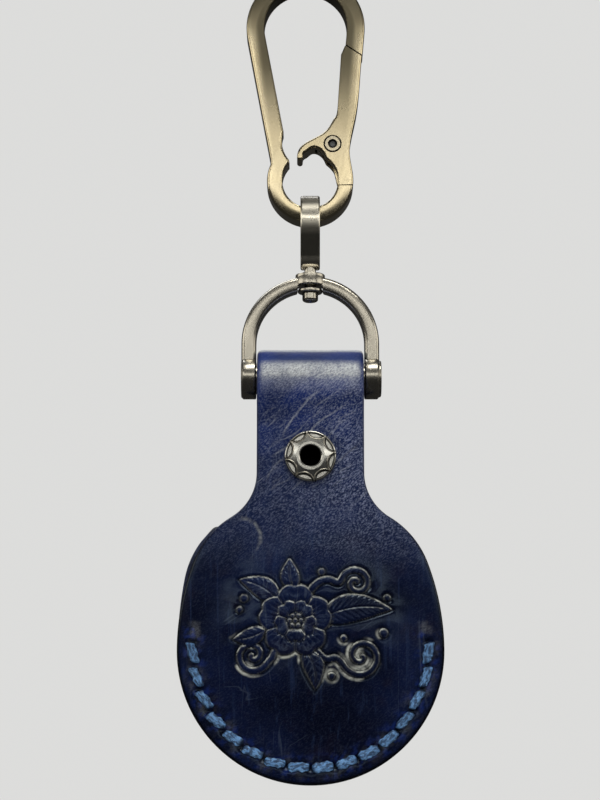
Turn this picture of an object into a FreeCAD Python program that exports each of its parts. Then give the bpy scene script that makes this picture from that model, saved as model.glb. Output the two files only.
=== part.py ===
import FreeCAD, Part
import math
import os
from FreeCAD import Vector as V

os.makedirs("parts", exist_ok=True)

# Sizes in mm. X runs to the right, Y to the back, Z up.
# The origin is the inner crown of the clip's big loop, from which the part hangs.

# Clip frame
CLIP_THICK = 4.8
LOOP_RADIUS = 8.0
LOOP_BAR = 3.45
LOOP_OFFSET = -0.85
RING_RADIUS = 5.3
RING_BAR = 2.95
RING_DROP = 30.8
CLIP_ROUND = 0.45
WAIST_ANGLE = 154.5
WAIST_FILLET = 1.2
SCALLOP_LENGTH = 5.6
SCALLOP_DEPTH = 0.75
TOOTH_WIDTH = 0.7
SIDE_TURN = -5.0
NOSE_DROP = 2.8
NOSE_ANGLE = -34.0

# Gate lever, its rivet and spring
RIVET_X = 4.3
RIVET_RISE = 7.3
RIVET_RADIUS = 0.85
RIVET_HEAD = 1.6
RIVET_SINK = 0.45
RIVET_PROUD = 0.1
RIVET_ROUND = 0.2
RIVET_DIMPLE = 0.3
GATE_WAIST = 3.3
WAIST_FALL = 2.1
ARM_HEIGHT = 8.1
HOOK_REACH = 6.25
HOOK_FALL = 2.65
GATE_ROUND = 0.4
GATE_CHEEK = 1.4
HOOK_TIP = 0.55
HOOK_ANGLE = 52.0
NOSE_BEVEL = 0.75
NOSE_FALL = 1.8
ARM_MID = 0.6
ARM_BULGE = 0.25
SEAM_GAP = 0.25
SEAM_IN_ANGLE = -11.0
SEAM_OUT_ANGLE = -7.0
TONGUE_EYE = 1.5
TONGUE_WIDTH = 1.5
TONGUE_TURN = 8.0
SPRING_RADIUS = 0.5
SPRING_WIRE = 0.12
SPRING_TURNS = 3
SPRING_SEAT = 0.75
SPRING_ROOM = 1.5
LEDGE_THICK = 0.65

# Running clearances
FORK_GAP = 0.1
PIN_GAP = 0.05

# Swivel eye and washer
EYE_RADIUS = 3.1
EYE_STRAP = 1.1
EYE_WIDTH = 3.7
EYE_FOOT = 0.9
EYE_REACH = 8.3
EYE_BASE = 1.25
EYE_ROUND = 0.4
NECK_HEIGHT = 0.8
SHANK_RADIUS = 1.1
SHANK_ROOT = 0.6
STUB_RADIUS = 1.5
STUB_HEIGHT = 1.6
STUB_ROUND = 0.5
STUB_DIMPLE = 0.5
WASHER_RADIUS = 2.35
WASHER_THICK = 0.75
WASHER_PLAY = 0.55
WASHER_ROUND = 0.25

# Shackle and screw pin
COLLAR_RADIUS = 2.8
COLLAR_HEIGHT = 2.3
COLLAR_ROUND = 0.25
BOW_STEP = 0.5
BOW_BAR = 2.8
BOW_DEPTH = 3.0
BOW_ROUND = 0.7
LEG_LENGTH = 6.7
EAR_RADIUS = 3.85
EAR_CHAMFER = 0.4
EAR_ROUND = 0.25
PIN_RADIUS = 2.9
PIN_INSET = 0.3
HEAD_RADIUS = 3.45
HEAD_HEIGHT = 0.35
SLOT_WIDTH = 0.7

# Leather
LEATHER = 2.4
STRAP_WIDTH = 20.0
SIDE_PLAY = 0.2
FOLD_PLAY = 0.15
STRAP_GAP = 3.4
STRAP_BEND = 10.2
SNAP_DROP = 15.5
FLAP_TAIL = 8.0
FLAP_CORNER = 4.0
POCKET_DROP = 51.1
POCKET_RADIUS = 24.5
SEAM_BAND = 4.9
SIDE_RADIUS = 45.8
BACK_SIDE_RADIUS = 74.0
SHOULDER_RADIUS = 16.7
SHOULDER_RISE = 10.2
NECK_FILLET = 9.8
FRONT_BULGE = 2.2
FRONT_WALL = 11.6
BACK_BULGE = 5.8
BACK_WALL = 6.0
MOUTH_GAP = 3.4

# Saddle stitch round the lower half
STITCH_INSET = 2.95
STITCH_COUNT = 16
STITCH_LIFT = 4.0
STITCH_SLANT = 7.0
THREAD_WIDTH = 1.4
THREAD_HEIGHT = 0.6
THREAD_RADIUS = 0.42
AWL_RADIUS = 0.5

# Snap fastener
EYELET_RADIUS = 4.8
EYELET_HOLE = 1.9
EYELET_WALL = 0.3
EYELET_RIM = 0.45
EYELET_CROWN = 1.25
EYELET_FLANGE = 0.35
EYELET_LIP = 0.7
EYELET_BARREL = 1.4
PETALS = 8
PETAL_TURN = 8.5
PETAL_DIP = 3.25
STUD_FLANGE = 3.9
STUD_RADIUS = 2.8
STUD_BULB = 3.05
STUD_SHEET = 0.5
STUD_HEAD = 1.3
STUD_TOP = 0.4
STUD_CLEAR = 0.95
SOCKET_RADIUS = 4.6
SOCKET_BORE = 3.4
SOCKET_EDGE = 0.5
SOCKET_LIP = 0.3
SOCKET_MOUTH = 0.75
SOCKET_FLOOR = 0.55
GROOVE_WIDTH = 0.7
GROOVE_DEPTH = 0.6
WIRE_RADIUS = 0.25
WIRE_SEAT = 0.2
WIRE_SPLIT = 0.9
CAP_RADIUS = 6.2
CAP_HEIGHT = 2.0
CAP_POST = 1.9
CLINCH_WIDTH = 0.5
CLINCH_THICK = 0.2

# Heights that follow from the sizes above
loop_c = V(LOOP_OFFSET, 0, -LOOP_RADIUS)
ring_c = V(0, 0, -LOOP_RADIUS - RING_DROP)
loop_out = LOOP_RADIUS + LOOP_BAR
ring_out = RING_RADIUS + RING_BAR
rivet = V(RIVET_X, 0, ring_c.z + RIVET_RISE)
bar_z = ring_c.z - RING_RADIUS - RING_BAR / 2
eye_low = bar_z - EYE_REACH
eye_foot = eye_low - EYE_FOOT - EYE_BASE
collar_top = eye_foot - NECK_HEIGHT
collar_foot = collar_top - COLLAR_HEIGHT
half_inside = STRAP_WIDTH / 2 + SIDE_PLAY
bow_top = collar_top - BOW_STEP
bow_z = bow_top - BOW_BAR - half_inside
pin_z = bow_z - LEG_LENGTH
snap_z = pin_z - SNAP_DROP
flap_end = snap_z - FLAP_TAIL
pocket_z = pin_z - POCKET_DROP
fold_in = PIN_RADIUS + FOLD_PLAY
fold_out = fold_in + LEATHER
layer_in = STRAP_GAP / 2
layer_out = layer_in + LEATHER
seam_y = -layer_in
back_face = seam_y + LEATHER
bulge_radius = POCKET_RADIUS - SEAM_BAND


def at(x, z, y=0.0):
    return V(x, y, z)


def polar(centre, radius, degrees):
    a = math.radians(degrees)
    return at(centre.x + radius * math.cos(a), centre.z + radius * math.sin(a))


def line(p, q):
    return Part.makeLine(p, q)


def arc(centre, radius, start, end):
    mid = (start + end) / 2
    points = [polar(centre, radius, a) for a in (start, mid, end)]
    return Part.Arc(*points).toShape()


def spline(points, first, last):
    curve = Part.BSplineCurve()
    curve.interpolate(Points=points, InitialTangent=first, FinalTangent=last)
    return curve.toShape()


def plate(edges, y0, y1):
    """Closed outline in the XZ plane, swept from y0 to y1."""
    face = Part.Face(Part.Wire(Part.sortEdges(edges)[0]))
    face.translate(V(0, y0, 0))
    return face.extrude(V(0, y1 - y0, 0))


def polygon(points, y0, y1):
    wire = Part.makePolygon(points + [points[0]])
    return plate(wire.Edges, y0, y1)


def cyl_x(radius, x0, x1, z):
    return Part.makeCylinder(radius, x1 - x0, V(x0, 0, z), V(1, 0, 0))


def cyl_y(radius, y0, y1, x, z):
    return Part.makeCylinder(radius, y1 - y0, V(x, y0, z), V(0, 1, 0))


def cyl_z(radius, z0, z1):
    return Part.makeCylinder(radius, z1 - z0, V(0, 0, z0), V(0, 0, 1))


def lathe_y(profile, x, z):
    """Profile of (radius, y) points turned about a Y axis through (x, z)."""
    points = [at(x + r, z, y) for r, y in profile]
    face = Part.Face(Part.makePolygon(points + [points[0]]))
    return face.revolve(at(x, z), V(0, 1, 0), 360)


def lathe_z(profile):
    """Profile of (radius, z) points turned about the Z axis."""
    points = [at(r, z) for r, z in profile]
    face = Part.Face(Part.makePolygon(points + [points[0]]))
    return face.revolve(V(0, 0, 0), V(0, 0, 1), 360)


def rounded(shape, radius, chosen):
    return shape.makeFillet(radius, [e for e in shape.Edges if chosen(e)])


def in_plane(edge, axis, value):
    """True for an edge that lies wholly at one value of an axis."""
    box = edge.BoundBox
    low = getattr(box, axis + "Min")
    high = getattr(box, axis + "Max")
    return abs(low - value) < 1e-4 and abs(high - value) < 1e-4


def near(edge, point, reach):
    return edge.CenterOfMass.distanceToPoint(point) < reach


def save(name, shape):
    shape.exportStep("parts/" + name + ".step")


# Clip frame: the left bar leaves the loop as a tangent and meets the ring at a waist.
waist_c = polar(ring_c, ring_out, WAIST_ANGLE)
to_waist = waist_c.sub(loop_c)
lean = math.acos(loop_out / to_waist.Length)
side_deg = math.degrees(math.atan2(to_waist.z, to_waist.x) - lean) % 360
normal = polar(at(0, 0), 1, side_deg)
along = V(-normal.z, 0, normal.x)
bar_in = waist_c.sub(ring_c).dot(normal) - LOOP_BAR
bar_rise = math.sqrt(RING_RADIUS ** 2 - bar_in ** 2)
bar_end = ring_c + normal * bar_in - along * bar_rise
end_deg = math.degrees(math.atan2(bar_end.z - ring_c.z, bar_end.x - ring_c.x)) % 360
scallop_low = bar_end - along * TOOTH_WIDTH
scallop_top = scallop_low - along * SCALLOP_LENGTH
scallop_mid = (scallop_low + scallop_top) * 0.5 + normal * SCALLOP_DEPTH
half = CLIP_THICK / 2
side_run = polar(at(0, 0), 1, SIDE_TURN - 90)
right_in = polar(loop_c, LOOP_RADIUS, SIDE_TURN)
right_out = polar(loop_c, loop_out, SIDE_TURN)
nose_run = polar(at(0, 0), 1, NOSE_ANGLE)
nose_in = right_in + side_run * NOSE_DROP
nose_out = nose_in + nose_run * (LOOP_BAR / math.cos(math.radians(NOSE_ANGLE - SIDE_TURN)))
seam_in = polar(ring_c, RING_RADIUS, SEAM_IN_ANGLE)
seam_out = polar(ring_c, ring_out, SEAM_OUT_ANGLE)
frame_edges = [
    line(nose_out, right_out),
    arc(loop_c, loop_out, SIDE_TURN, side_deg),
    line(loop_c + normal * loop_out, waist_c),
    arc(ring_c, ring_out, WAIST_ANGLE, 360 + SEAM_OUT_ANGLE),
    line(seam_out, seam_in),
    arc(ring_c, RING_RADIUS, end_deg, 360 + SEAM_IN_ANGLE),
    line(bar_end, scallop_low),
    Part.Arc(scallop_low, scallop_mid, scallop_top).toShape(),
    line(scallop_top, loop_c + normal * LOOP_RADIUS),
    arc(loop_c, LOOP_RADIUS, SIDE_TURN, side_deg),
    line(right_in, nose_in),
    line(nose_in, nose_out),
]
frame = plate(frame_edges, -half, half)
frame = rounded(frame, WAIST_FILLET, lambda e: near(e, waist_c, 0.05))


def free_end(edge):
    """Edges of the two seams, which stay crisp."""
    seams = (line(nose_in, nose_out), line(seam_in, seam_out))
    flat = V(edge.CenterOfMass.x, 0, edge.CenterOfMass.z)
    return any(s.CenterOfMass.distanceToPoint(flat) < 0.05 for s in seams)


def face_rim(edge):
    return in_plane(edge, "Y", half) or in_plane(edge, "Y", -half)


frame = rounded(frame, CLIP_ROUND, lambda e: face_rim(e) and not free_end(e))

# Tongue inside the gate's fork, with a ledge for the spring
tongue_half = half - GATE_CHEEK - FORK_GAP
tongue_foot = polar(ring_c, (RING_RADIUS + ring_out) / 2, SEAM_IN_ANGLE - TONGUE_TURN)
tongue_dir = V(tongue_foot.sub(rivet)).normalize()
tongue_out = V(-tongue_dir.z, 0, tongue_dir.x)
tongue_side = tongue_out * (TONGUE_WIDTH / 2)
spring_x = rivet.x - TONGUE_EYE - FORK_GAP * 2 - SPRING_RADIUS - SPRING_WIRE
ledge_top = rivet.z - SPRING_SEAT
ledge_foot = ledge_top - LEDGE_THICK
ledge_left = spring_x - SPRING_RADIUS - SPRING_WIRE
tongue = cyl_y(TONGUE_EYE, -tongue_half, tongue_half, rivet.x, rivet.z)
bar = [rivet + tongue_side, tongue_foot + tongue_side]
bar += [tongue_foot - tongue_side, rivet - tongue_side]
tongue = tongue.fuse(polygon(bar, -tongue_half, tongue_half))
ledge = [at(ledge_left + LEDGE_THICK, ledge_foot), at(rivet.x, ledge_foot - LEDGE_THICK / 2)]
ledge += [at(rivet.x, ledge_top), at(ledge_left, ledge_top)]
tongue = tongue.fuse(polygon(ledge, -tongue_half, tongue_half)).removeSplitter()
frame = frame.fuse(tongue).cut(cyl_y(RIVET_RADIUS, -half, half, rivet.x, rivet.z))
save("carabiner_frame", frame.removeSplitter())

# Gate lever, drawn round its rivet
gap = V(-nose_run.z, 0, nose_run.x) * -SEAM_GAP
gate_nose_out = nose_out + gap
gate_nose_in = nose_in + gap
gate_bevel = gate_nose_in + V(-NOSE_BEVEL, 0, -NOSE_FALL)
gate_seam = math.degrees(SEAM_GAP / ring_out)
waist = rivet + V(GATE_WAIST, 0, -WAIST_FALL)
hip = polar(ring_c, ring_out, 0)
arm_mid = gate_nose_out + (waist - gate_nose_out) * ARM_MID + V(ARM_BULGE, 0, 0)
leg_out = polar(ring_c, ring_out, SEAM_OUT_ANGLE + gate_seam)
leg_in = polar(ring_c, RING_RADIUS, SEAM_IN_ANGLE + gate_seam)
tip_c = rivet + V(-HOOK_REACH, 0, -HOOK_FALL)
tip_top = tip_c + V(-HOOK_TIP, 0, 0)
tip_foot = tip_c + V(HOOK_TIP, 0, 0)
under = [polar(ring_c, RING_RADIUS, HOOK_ANGLE)]
for across, fall in ((-0.263, -0.77), (-0.638, -0.306), (-0.8, -0.6)):
    under.append(rivet + V(across * HOOK_REACH, 0, fall * HOOK_FALL))
crest = [tip_top]
for across, up in ((-0.79, 0.05), (-0.47, 0.185), (-0.165, 0.364), (0.04, 0.62), (0.166, 1)):
    crest.append(rivet + V(across * HOOK_REACH, 0, up * ARM_HEIGHT))
arm_in = crest[-1]
rim = arc(ring_c, ring_out, SEAM_OUT_ANGLE + gate_seam, 0)
gate_edges = [
    line(gate_nose_in, gate_nose_out),
    spline([gate_nose_out, arm_mid, waist, hip], V(arm_mid - gate_nose_out).normalize(), V(0, 0, -1)),
    rim,
    line(leg_out, leg_in),
    arc(ring_c, RING_RADIUS, SEAM_IN_ANGLE + gate_seam, HOOK_ANGLE),
    spline(under + [tip_foot], polar(at(0, 0), 1, HOOK_ANGLE + 90), V(0, 0, -1)),
    Part.Arc(tip_foot, tip_c + V(0, 0, -HOOK_TIP), tip_top).toShape(),
    spline(crest, V(0, 0, 1), V(gate_bevel - arm_in).normalize()),
    line(arm_in, gate_bevel),
    line(gate_bevel, gate_nose_in),
]
gate = plate(gate_edges, -half, half)
gate_ends = [line(gate_nose_in, gate_nose_out), line(leg_in, leg_out)]


def gate_rim(edge):
    flat = V(edge.CenterOfMass.x, 0, edge.CenterOfMass.z)
    seam = any(s.CenterOfMass.distanceToPoint(flat) < 0.05 for s in gate_ends)
    return face_rim(edge) and not seam


gate = rounded(gate, GATE_ROUND, gate_rim)
fork_half = half - GATE_CHEEK
fork_eye = TONGUE_EYE + 2 * FORK_GAP
ceiling = ledge_top + SPRING_ROOM
seat_left = ledge_left - 4 * FORK_GAP
fork_side = rivet + tongue_out * (TONGUE_WIDTH / 2 + FORK_GAP)
fork_run = (fork_side.z - ring_c.z + RING_RADIUS) / -tongue_dir.z
fork = [
    fork_side,
    fork_side + tongue_dir * fork_run,
    at(ring_c.x, ring_c.z - RING_RADIUS),
    at(seat_left, ring_c.z + RING_RADIUS * 0.7),
    at(seat_left, ceiling),
    at(rivet.x, ceiling),
]
slot = polygon(fork, -fork_half, fork_half)
slot = slot.fuse(cyl_y(fork_eye, -fork_half, fork_half, rivet.x, rivet.z))
gate = gate.cut(slot)
gate = gate.cut(cyl_y(RIVET_RADIUS + PIN_GAP, -half, half, rivet.x, rivet.z))
for y0, y1 in ((-half, -half + RIVET_SINK), (half - RIVET_SINK, half)):
    gate = gate.cut(cyl_y(RIVET_HEAD + PIN_GAP, y0, y1, rivet.x, rivet.z))
save("carabiner_gate", gate.removeSplitter())

# Rivet with two low domed heads sunk in the cheeks
shank_end = half - RIVET_SINK + PIN_GAP
rivet_body = cyl_y(RIVET_RADIUS, -shank_end, shank_end, rivet.x, rivet.z)
for sign in (-1, 1):
    root = sign * shank_end
    face = sign * (half + RIVET_PROUD)
    head = cyl_y(RIVET_HEAD, min(root, face), max(root, face), rivet.x, rivet.z)
    head = rounded(head, RIVET_ROUND, lambda e: in_plane(e, "Y", face))
    sunk = face - sign * RIVET_DIMPLE
    dimple = cyl_y(RIVET_RADIUS, min(face, sunk), max(face, sunk), rivet.x, rivet.z)
    rivet_body = rivet_body.fuse(head.cut(dimple))
save("gate_rivet", rivet_body.removeSplitter())

# Coil spring between the ledge and the ceiling of the fork
coil_low = ledge_top + SPRING_WIRE
coil_rise = ceiling - SPRING_WIRE - coil_low
coil = []
quarter = 0
while quarter < SPRING_TURNS * 4:
    def coil_point(step):
        a = (quarter + step) * math.pi / 2
        x = spring_x + SPRING_RADIUS * math.cos(a)
        z = coil_low + coil_rise * (quarter + step) / (SPRING_TURNS * 4)
        return V(x, SPRING_RADIUS * math.sin(a), z)
    coil.append(Part.Arc(coil_point(0), coil_point(0.5), coil_point(1)).toShape())
    quarter += 1
start = V(spring_x + SPRING_RADIUS, 0, coil_low)
ring = Part.Wire(Part.makeCircle(SPRING_WIRE, start, V(0, 1, 0)))
save("gate_spring", Part.Wire(coil).makePipeShell([ring], True, False))

# Swivel eye: a strap bent round the ring's lowest stretch, seen edge on
eye_half = EYE_WIDTH / 2


def teardrop(top_radius, low_radius):
    """Strap outline in the YZ plane: two circles joined by their tangents."""
    lean_in = math.asin((top_radius - low_radius) / EYE_REACH)

    def tangent(radius, z, side):
        return V(-eye_half, side * radius * math.cos(lean_in), z - radius * math.sin(lean_in))

    crown = V(-eye_half, 0, bar_z + top_radius)
    heel = V(-eye_half, 0, eye_low - low_radius)
    top = [tangent(top_radius, bar_z, side) for side in (-1, 1)]
    low = [tangent(low_radius, eye_low, side) for side in (-1, 1)]
    edges = [Part.Arc(top[0], crown, top[1]).toShape(), line(top[1], low[1])]
    edges += [Part.Arc(low[1], heel, low[0]).toShape(), line(low[0], top[0])]
    return Part.Face(Part.Wire(edges)).extrude(V(EYE_WIDTH, 0, 0))


eye = teardrop(EYE_RADIUS + EYE_STRAP, EYE_FOOT + EYE_STRAP)
eye = eye.cut(teardrop(EYE_RADIUS, EYE_FOOT))
eye = rounded(eye, EYE_ROUND, lambda e: in_plane(e, "X", eye_half) or in_plane(e, "X", -eye_half))
washer_top = collar_foot - WASHER_PLAY
washer_foot = washer_top - WASHER_THICK
stub_top = washer_foot - PIN_GAP
stub_foot = stub_top - STUB_HEIGHT
stub = cyl_z(STUB_RADIUS, stub_foot, stub_top)
stub = rounded(stub, STUB_ROUND, lambda e: in_plane(e, "Z", stub_foot))
stub = stub.cut(lathe_z([(0, stub_foot), (STUB_RADIUS * 0.5, stub_foot), (0, stub_foot + STUB_DIMPLE)]))
eye = eye.fuse(cyl_z(SHANK_RADIUS, stub_top - SHANK_ROOT, eye_foot + SHANK_ROOT)).fuse(stub)
save("swivel_eye", eye.removeSplitter())

washer = cyl_z(WASHER_RADIUS, washer_foot, washer_top)
washer = rounded(washer, WASHER_ROUND, lambda e: len(e.Vertexes) == 1)
save("swivel_washer", washer.cut(cyl_z(SHANK_RADIUS + PIN_GAP, washer_foot, washer_top)))

# Shackle bow: half ring with straight legs, ear barrels and a collar
bow_c = at(0, bow_z)
half_out = half_inside + BOW_BAR
bow_half = BOW_DEPTH / 2
bow_edges = [
    arc(bow_c, half_out, 0, 180),
    line(at(-half_out, bow_z), at(-half_out, pin_z)),
    line(at(-half_out, pin_z), at(-half_inside, pin_z)),
    line(at(-half_inside, pin_z), at(-half_inside, bow_z)),
    arc(bow_c, half_inside, 0, 180),
    line(at(half_inside, bow_z), at(half_inside, pin_z)),
    line(at(half_inside, pin_z), at(half_out, pin_z)),
    line(at(half_out, pin_z), at(half_out, bow_z)),
]
bow = plate(bow_edges, -bow_half, bow_half)


def bow_rim(edge):
    flat = in_plane(edge, "Y", bow_half) or in_plane(edge, "Y", -bow_half)
    return flat and not in_plane(edge, "Z", pin_z)


bow = rounded(bow, BOW_ROUND, bow_rim)
collar = cyl_z(COLLAR_RADIUS, collar_foot, collar_top)
collar = rounded(collar, COLLAR_ROUND, lambda e: len(e.Vertexes) == 1)
bow = bow.fuse(collar).cut(cyl_z(COLLAR_RADIUS, collar_foot - BOW_BAR, collar_foot))
for sign in (-1, 1):
    inner = sign * half_inside
    outer = sign * half_out
    ear = cyl_x(EAR_RADIUS, min(inner, outer), max(inner, outer), pin_z)
    ear = ear.makeChamfer(EAR_CHAMFER, [e for e in ear.Edges if in_plane(e, "X", outer)])
    ear = rounded(ear, EAR_ROUND, lambda e: in_plane(e, "X", inner))
    bow = bow.fuse(ear)
bow = bow.cut(cyl_z(SHANK_RADIUS + PIN_GAP, collar_foot, collar_top))
bow = bow.cut(cyl_x(PIN_RADIUS, -half_out, half_out, pin_z))
save("shackle_bow", bow.removeSplitter())

pin_end = PIN_INSET - half_out
screw = cyl_x(PIN_RADIUS, pin_end, half_out, pin_z)
screw = screw.makeChamfer(EAR_CHAMFER, [e for e in screw.Edges if in_plane(e, "X", pin_end)])
head = cyl_x(HEAD_RADIUS, half_out, half_out + HEAD_HEIGHT, pin_z)
head = rounded(head, HEAD_HEIGHT * 0.8, lambda e: in_plane(e, "X", half_out + HEAD_HEIGHT))
cut = Part.makeBox(HEAD_HEIGHT, SLOT_WIDTH, HEAD_RADIUS * 2)
cut.translate(V(half_out + HEAD_HEIGHT * 0.35, -SLOT_WIDTH / 2, pin_z - HEAD_RADIUS))
save("shackle_screw", screw.fuse(head.cut(cut)).removeSplitter())


# Leather outline: round below, fuller shoulders, hollow fillets into the strap
def side(side_radius):
    """Points and centres of one half of the outline, right of the middle."""
    flank = at(POCKET_RADIUS - side_radius, pocket_z)
    meet = math.degrees(math.asin(SHOULDER_RISE / (side_radius - SHOULDER_RADIUS)))
    shoulder = polar(flank, side_radius - SHOULDER_RADIUS, meet)
    neck_x = STRAP_WIDTH / 2 + NECK_FILLET
    reach = SHOULDER_RADIUS + NECK_FILLET
    neck = at(neck_x, shoulder.z + math.sqrt(reach ** 2 - (neck_x - shoulder.x) ** 2))
    turn = math.degrees(math.atan2(neck.z - shoulder.z, neck.x - shoulder.x))
    return flank, shoulder, neck, meet, turn


def half_outline(side_radius, top):
    flank, shoulder, neck, meet, turn = side(side_radius)
    return [
        arc(at(0, pocket_z), POCKET_RADIUS, -90, 0),
        arc(flank, side_radius, 0, meet),
        arc(shoulder, SHOULDER_RADIUS, meet, turn),
        arc(neck, NECK_FILLET, 180, 180 + turn),
        line(at(STRAP_WIDTH / 2, neck.z), at(STRAP_WIDTH / 2, top)),
        line(at(STRAP_WIDTH / 2, top), at(0, top)),
    ]


def outline(right_radius, left_radius, top, y0, y1):
    left = [e.mirror(V(0, 0, 0), V(1, 0, 0)) for e in half_outline(left_radius, top)]
    return plate(half_outline(right_radius, top) + left, y0, y1)


def strap(sign, low):
    """Strap layer in front (-1) or behind (1), bowed out towards the pin."""
    bend_z = pin_z - STRAP_BEND
    mid_z = (pin_z + bend_z) / 2
    wide = 4 * POCKET_RADIUS

    def profile(flat_y, pin_y):
        mid_y = (flat_y + pin_y) / 2
        bow_by = (pin_y - flat_y) / 2
        quarter_z = (pin_z - bend_z) / 4
        lift = bow_by * 0.25
        low_arc = Part.Arc(V(0, flat_y, bend_z), V(0, flat_y + lift, bend_z + quarter_z),
                           V(0, mid_y, mid_z)).toShape()
        top_arc = Part.Arc(V(0, mid_y, mid_z), V(0, pin_y - lift, pin_z - quarter_z),
                           V(0, pin_y, pin_z)).toShape()
        return [Part.makeLine(V(0, flat_y, low), V(0, flat_y, bend_z)), low_arc, top_arc]

    edges = profile(sign * layer_in, sign * fold_in)
    edges += profile(sign * layer_out, sign * fold_out)
    edges.append(Part.makeLine(V(0, sign * layer_in, low), V(0, sign * layer_out, low)))
    edges.append(Part.makeLine(V(0, sign * fold_in, pin_z), V(0, sign * fold_out, pin_z)))
    face = Part.Face(Part.Wire(Part.sortEdges(edges)[0]))
    face.translate(V(-wide / 2, 0, 0))
    return face.extrude(V(wide, 0, 0))


def ogee(place, flat, radius, height, y0, sign):
    """Two equal arcs from a flat middle down to the rim plane."""
    run = radius - flat
    curve = (run ** 2 + height ** 2) / (4 * height)
    turn = 2 * math.atan(height / run)

    def crest(a):
        return place(flat + curve * math.sin(a), y0 + sign * (height - curve * (1 - math.cos(a))))

    def foot(a):
        return place(radius - curve * math.sin(a), y0 + sign * curve * (1 - math.cos(a)))

    upper_arc = Part.Arc(crest(0), crest(turn / 2), crest(turn))
    lower_arc = Part.Arc(crest(turn), foot(turn / 2), foot(0))
    return [upper_arc.toShape(), lower_arc.toShape()]


def shell_face(wall, height, y0, sign, rim, z):
    """Half cross-section of a bulged leather layer in the plane of one z, inner face on y0."""
    def place(r, y):
        return V(r, y, z)

    flat = bulge_radius - wall
    shift = LEATHER * 0.45
    top = y0 + sign * height
    face_y = y0 + sign * LEATHER
    edges = ogee(place, flat, bulge_radius, height, y0, sign)
    edges += ogee(place, flat + shift, bulge_radius + shift, height, face_y, sign)
    edges.append(line(place(0, top), place(flat, top)))
    edges.append(line(place(bulge_radius, y0), place(rim, y0)))
    edges.append(line(place(rim, y0), place(rim, face_y)))
    edges.append(line(place(bulge_radius + shift, face_y), place(rim, face_y)))
    edges.append(line(place(flat + shift, face_y + sign * height), place(0, face_y + sign * height)))
    edges.append(line(place(0, face_y + sign * height), place(0, top)))
    return Part.Face(Part.Wire(Part.sortEdges(edges)[0]))


front = strap(-1, pocket_z - POCKET_RADIUS - 1)
front = front.common(outline(SIDE_RADIUS, SIDE_RADIUS, pin_z, -fold_out - 1, 0))
dome_z = pocket_z + 1.5
dome_rim = bulge_radius + LEATHER * 0.6
dome = shell_face(FRONT_WALL, FRONT_BULGE, seam_y, -1, dome_rim, dome_z)
dome = dome.revolve(at(0, dome_z), V(0, 1, 0), 360)
front = front.cut(cyl_y(dome_rim, -layer_out, seam_y, 0, dome_z)).fuse(dome).removeSplitter()

# Back layer: half a round bulge below, drawn straight up to the open mouth
half_face = shell_face(BACK_WALL, BACK_BULGE, seam_y, 1, POCKET_RADIUS + 4, pocket_z)
bowl = half_face.revolve(at(0, pocket_z), V(0, 1, 0), 180)
mouth_z = flap_end - MOUTH_GAP
channel = half_face.extrude(V(0, 0, mouth_z - pocket_z))
channel = channel.fuse(channel.mirror(V(0, 0, 0), V(1, 0, 0)))
back = bowl.fuse(channel).removeSplitter()
deep = seam_y + BACK_BULGE + LEATHER + 1
back = back.common(outline(SIDE_RADIUS, BACK_SIDE_RADIUS, pin_z, seam_y - 1, deep))
lid = Part.makeBox(4 * POCKET_RADIUS, deep - seam_y + 2, POCKET_RADIUS)
lid.translate(V(-2 * POCKET_RADIUS, seam_y - 1, mouth_z))
back = back.cut(lid)

# Thread: posts through both layers, flat stitches lying on each face
stitch_radius = POCKET_RADIUS - STITCH_INSET
sweep = (180 + 2 * STITCH_LIFT) / STITCH_COUNT
first = 180 - STITCH_LIFT
centre = at(0, pocket_z)
holes = [polar(centre, stitch_radius, first + sweep * i) for i in range(STITCH_COUNT + 1)]
reach = (holes[1] - holes[0]).Length / 2 - THREAD_RADIUS * 0.6
thread = []
for p in holes:
    awl = cyl_y(AWL_RADIUS, -layer_out - 1, back_face + 1, p.x, p.z)
    front = front.cut(awl)
    back = back.cut(awl)
    bed = THREAD_HEIGHT * 0.4
    thread.append(cyl_y(THREAD_RADIUS, -layer_out - bed, back_face + bed, p.x, p.z))


def stitch(p, q, slant, y0, y1):
    mid = (p + q) * 0.5
    run = V(q - p).normalize()
    core = reach - THREAD_WIDTH / 2
    edge = THREAD_WIDTH / 2
    normal_xz = V(-run.z, 0, run.x)
    a = mid - run * core
    b = mid + run * core
    edges = [
        line(a + normal_xz * edge, b + normal_xz * edge),
        Part.Arc(b + normal_xz * edge, b + run * edge, b - normal_xz * edge).toShape(),
        line(b - normal_xz * edge, a - normal_xz * edge),
        Part.Arc(a - normal_xz * edge, a - run * edge, a + normal_xz * edge).toShape(),
    ]
    bar = plate(edges, y0, y1)
    bar.rotate(mid, V(0, 1, 0), slant)
    return bar


for p, q in zip(holes, holes[1:]):
    thread.append(stitch(p, q, STITCH_SLANT, -layer_out - THREAD_HEIGHT, -layer_out))
    thread.append(stitch(p, q, -STITCH_SLANT, back_face, back_face + THREAD_HEIGHT))
save("seam_thread", thread[0].multiFuse(thread[1:]).removeSplitter())

# Strap bores for the snap, then the fold and the flap
barrel_out = EYELET_HOLE + EYELET_WALL
front = front.cut(cyl_y(barrel_out, -layer_out - 1, 0, 0, snap_z))
save("front_panel", front.removeSplitter())
save("back_panel", back.removeSplitter())

fold = cyl_x(fold_out, -STRAP_WIDTH / 2, STRAP_WIDTH / 2, pin_z)
fold = fold.cut(cyl_x(fold_in, -STRAP_WIDTH / 2, STRAP_WIDTH / 2, pin_z))
upper = Part.makeBox(STRAP_WIDTH, 4 * fold_out, 2 * fold_out, V(-STRAP_WIDTH / 2, -2 * fold_out, pin_z))
save("strap_fold", fold.common(upper).removeSplitter())

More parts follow.
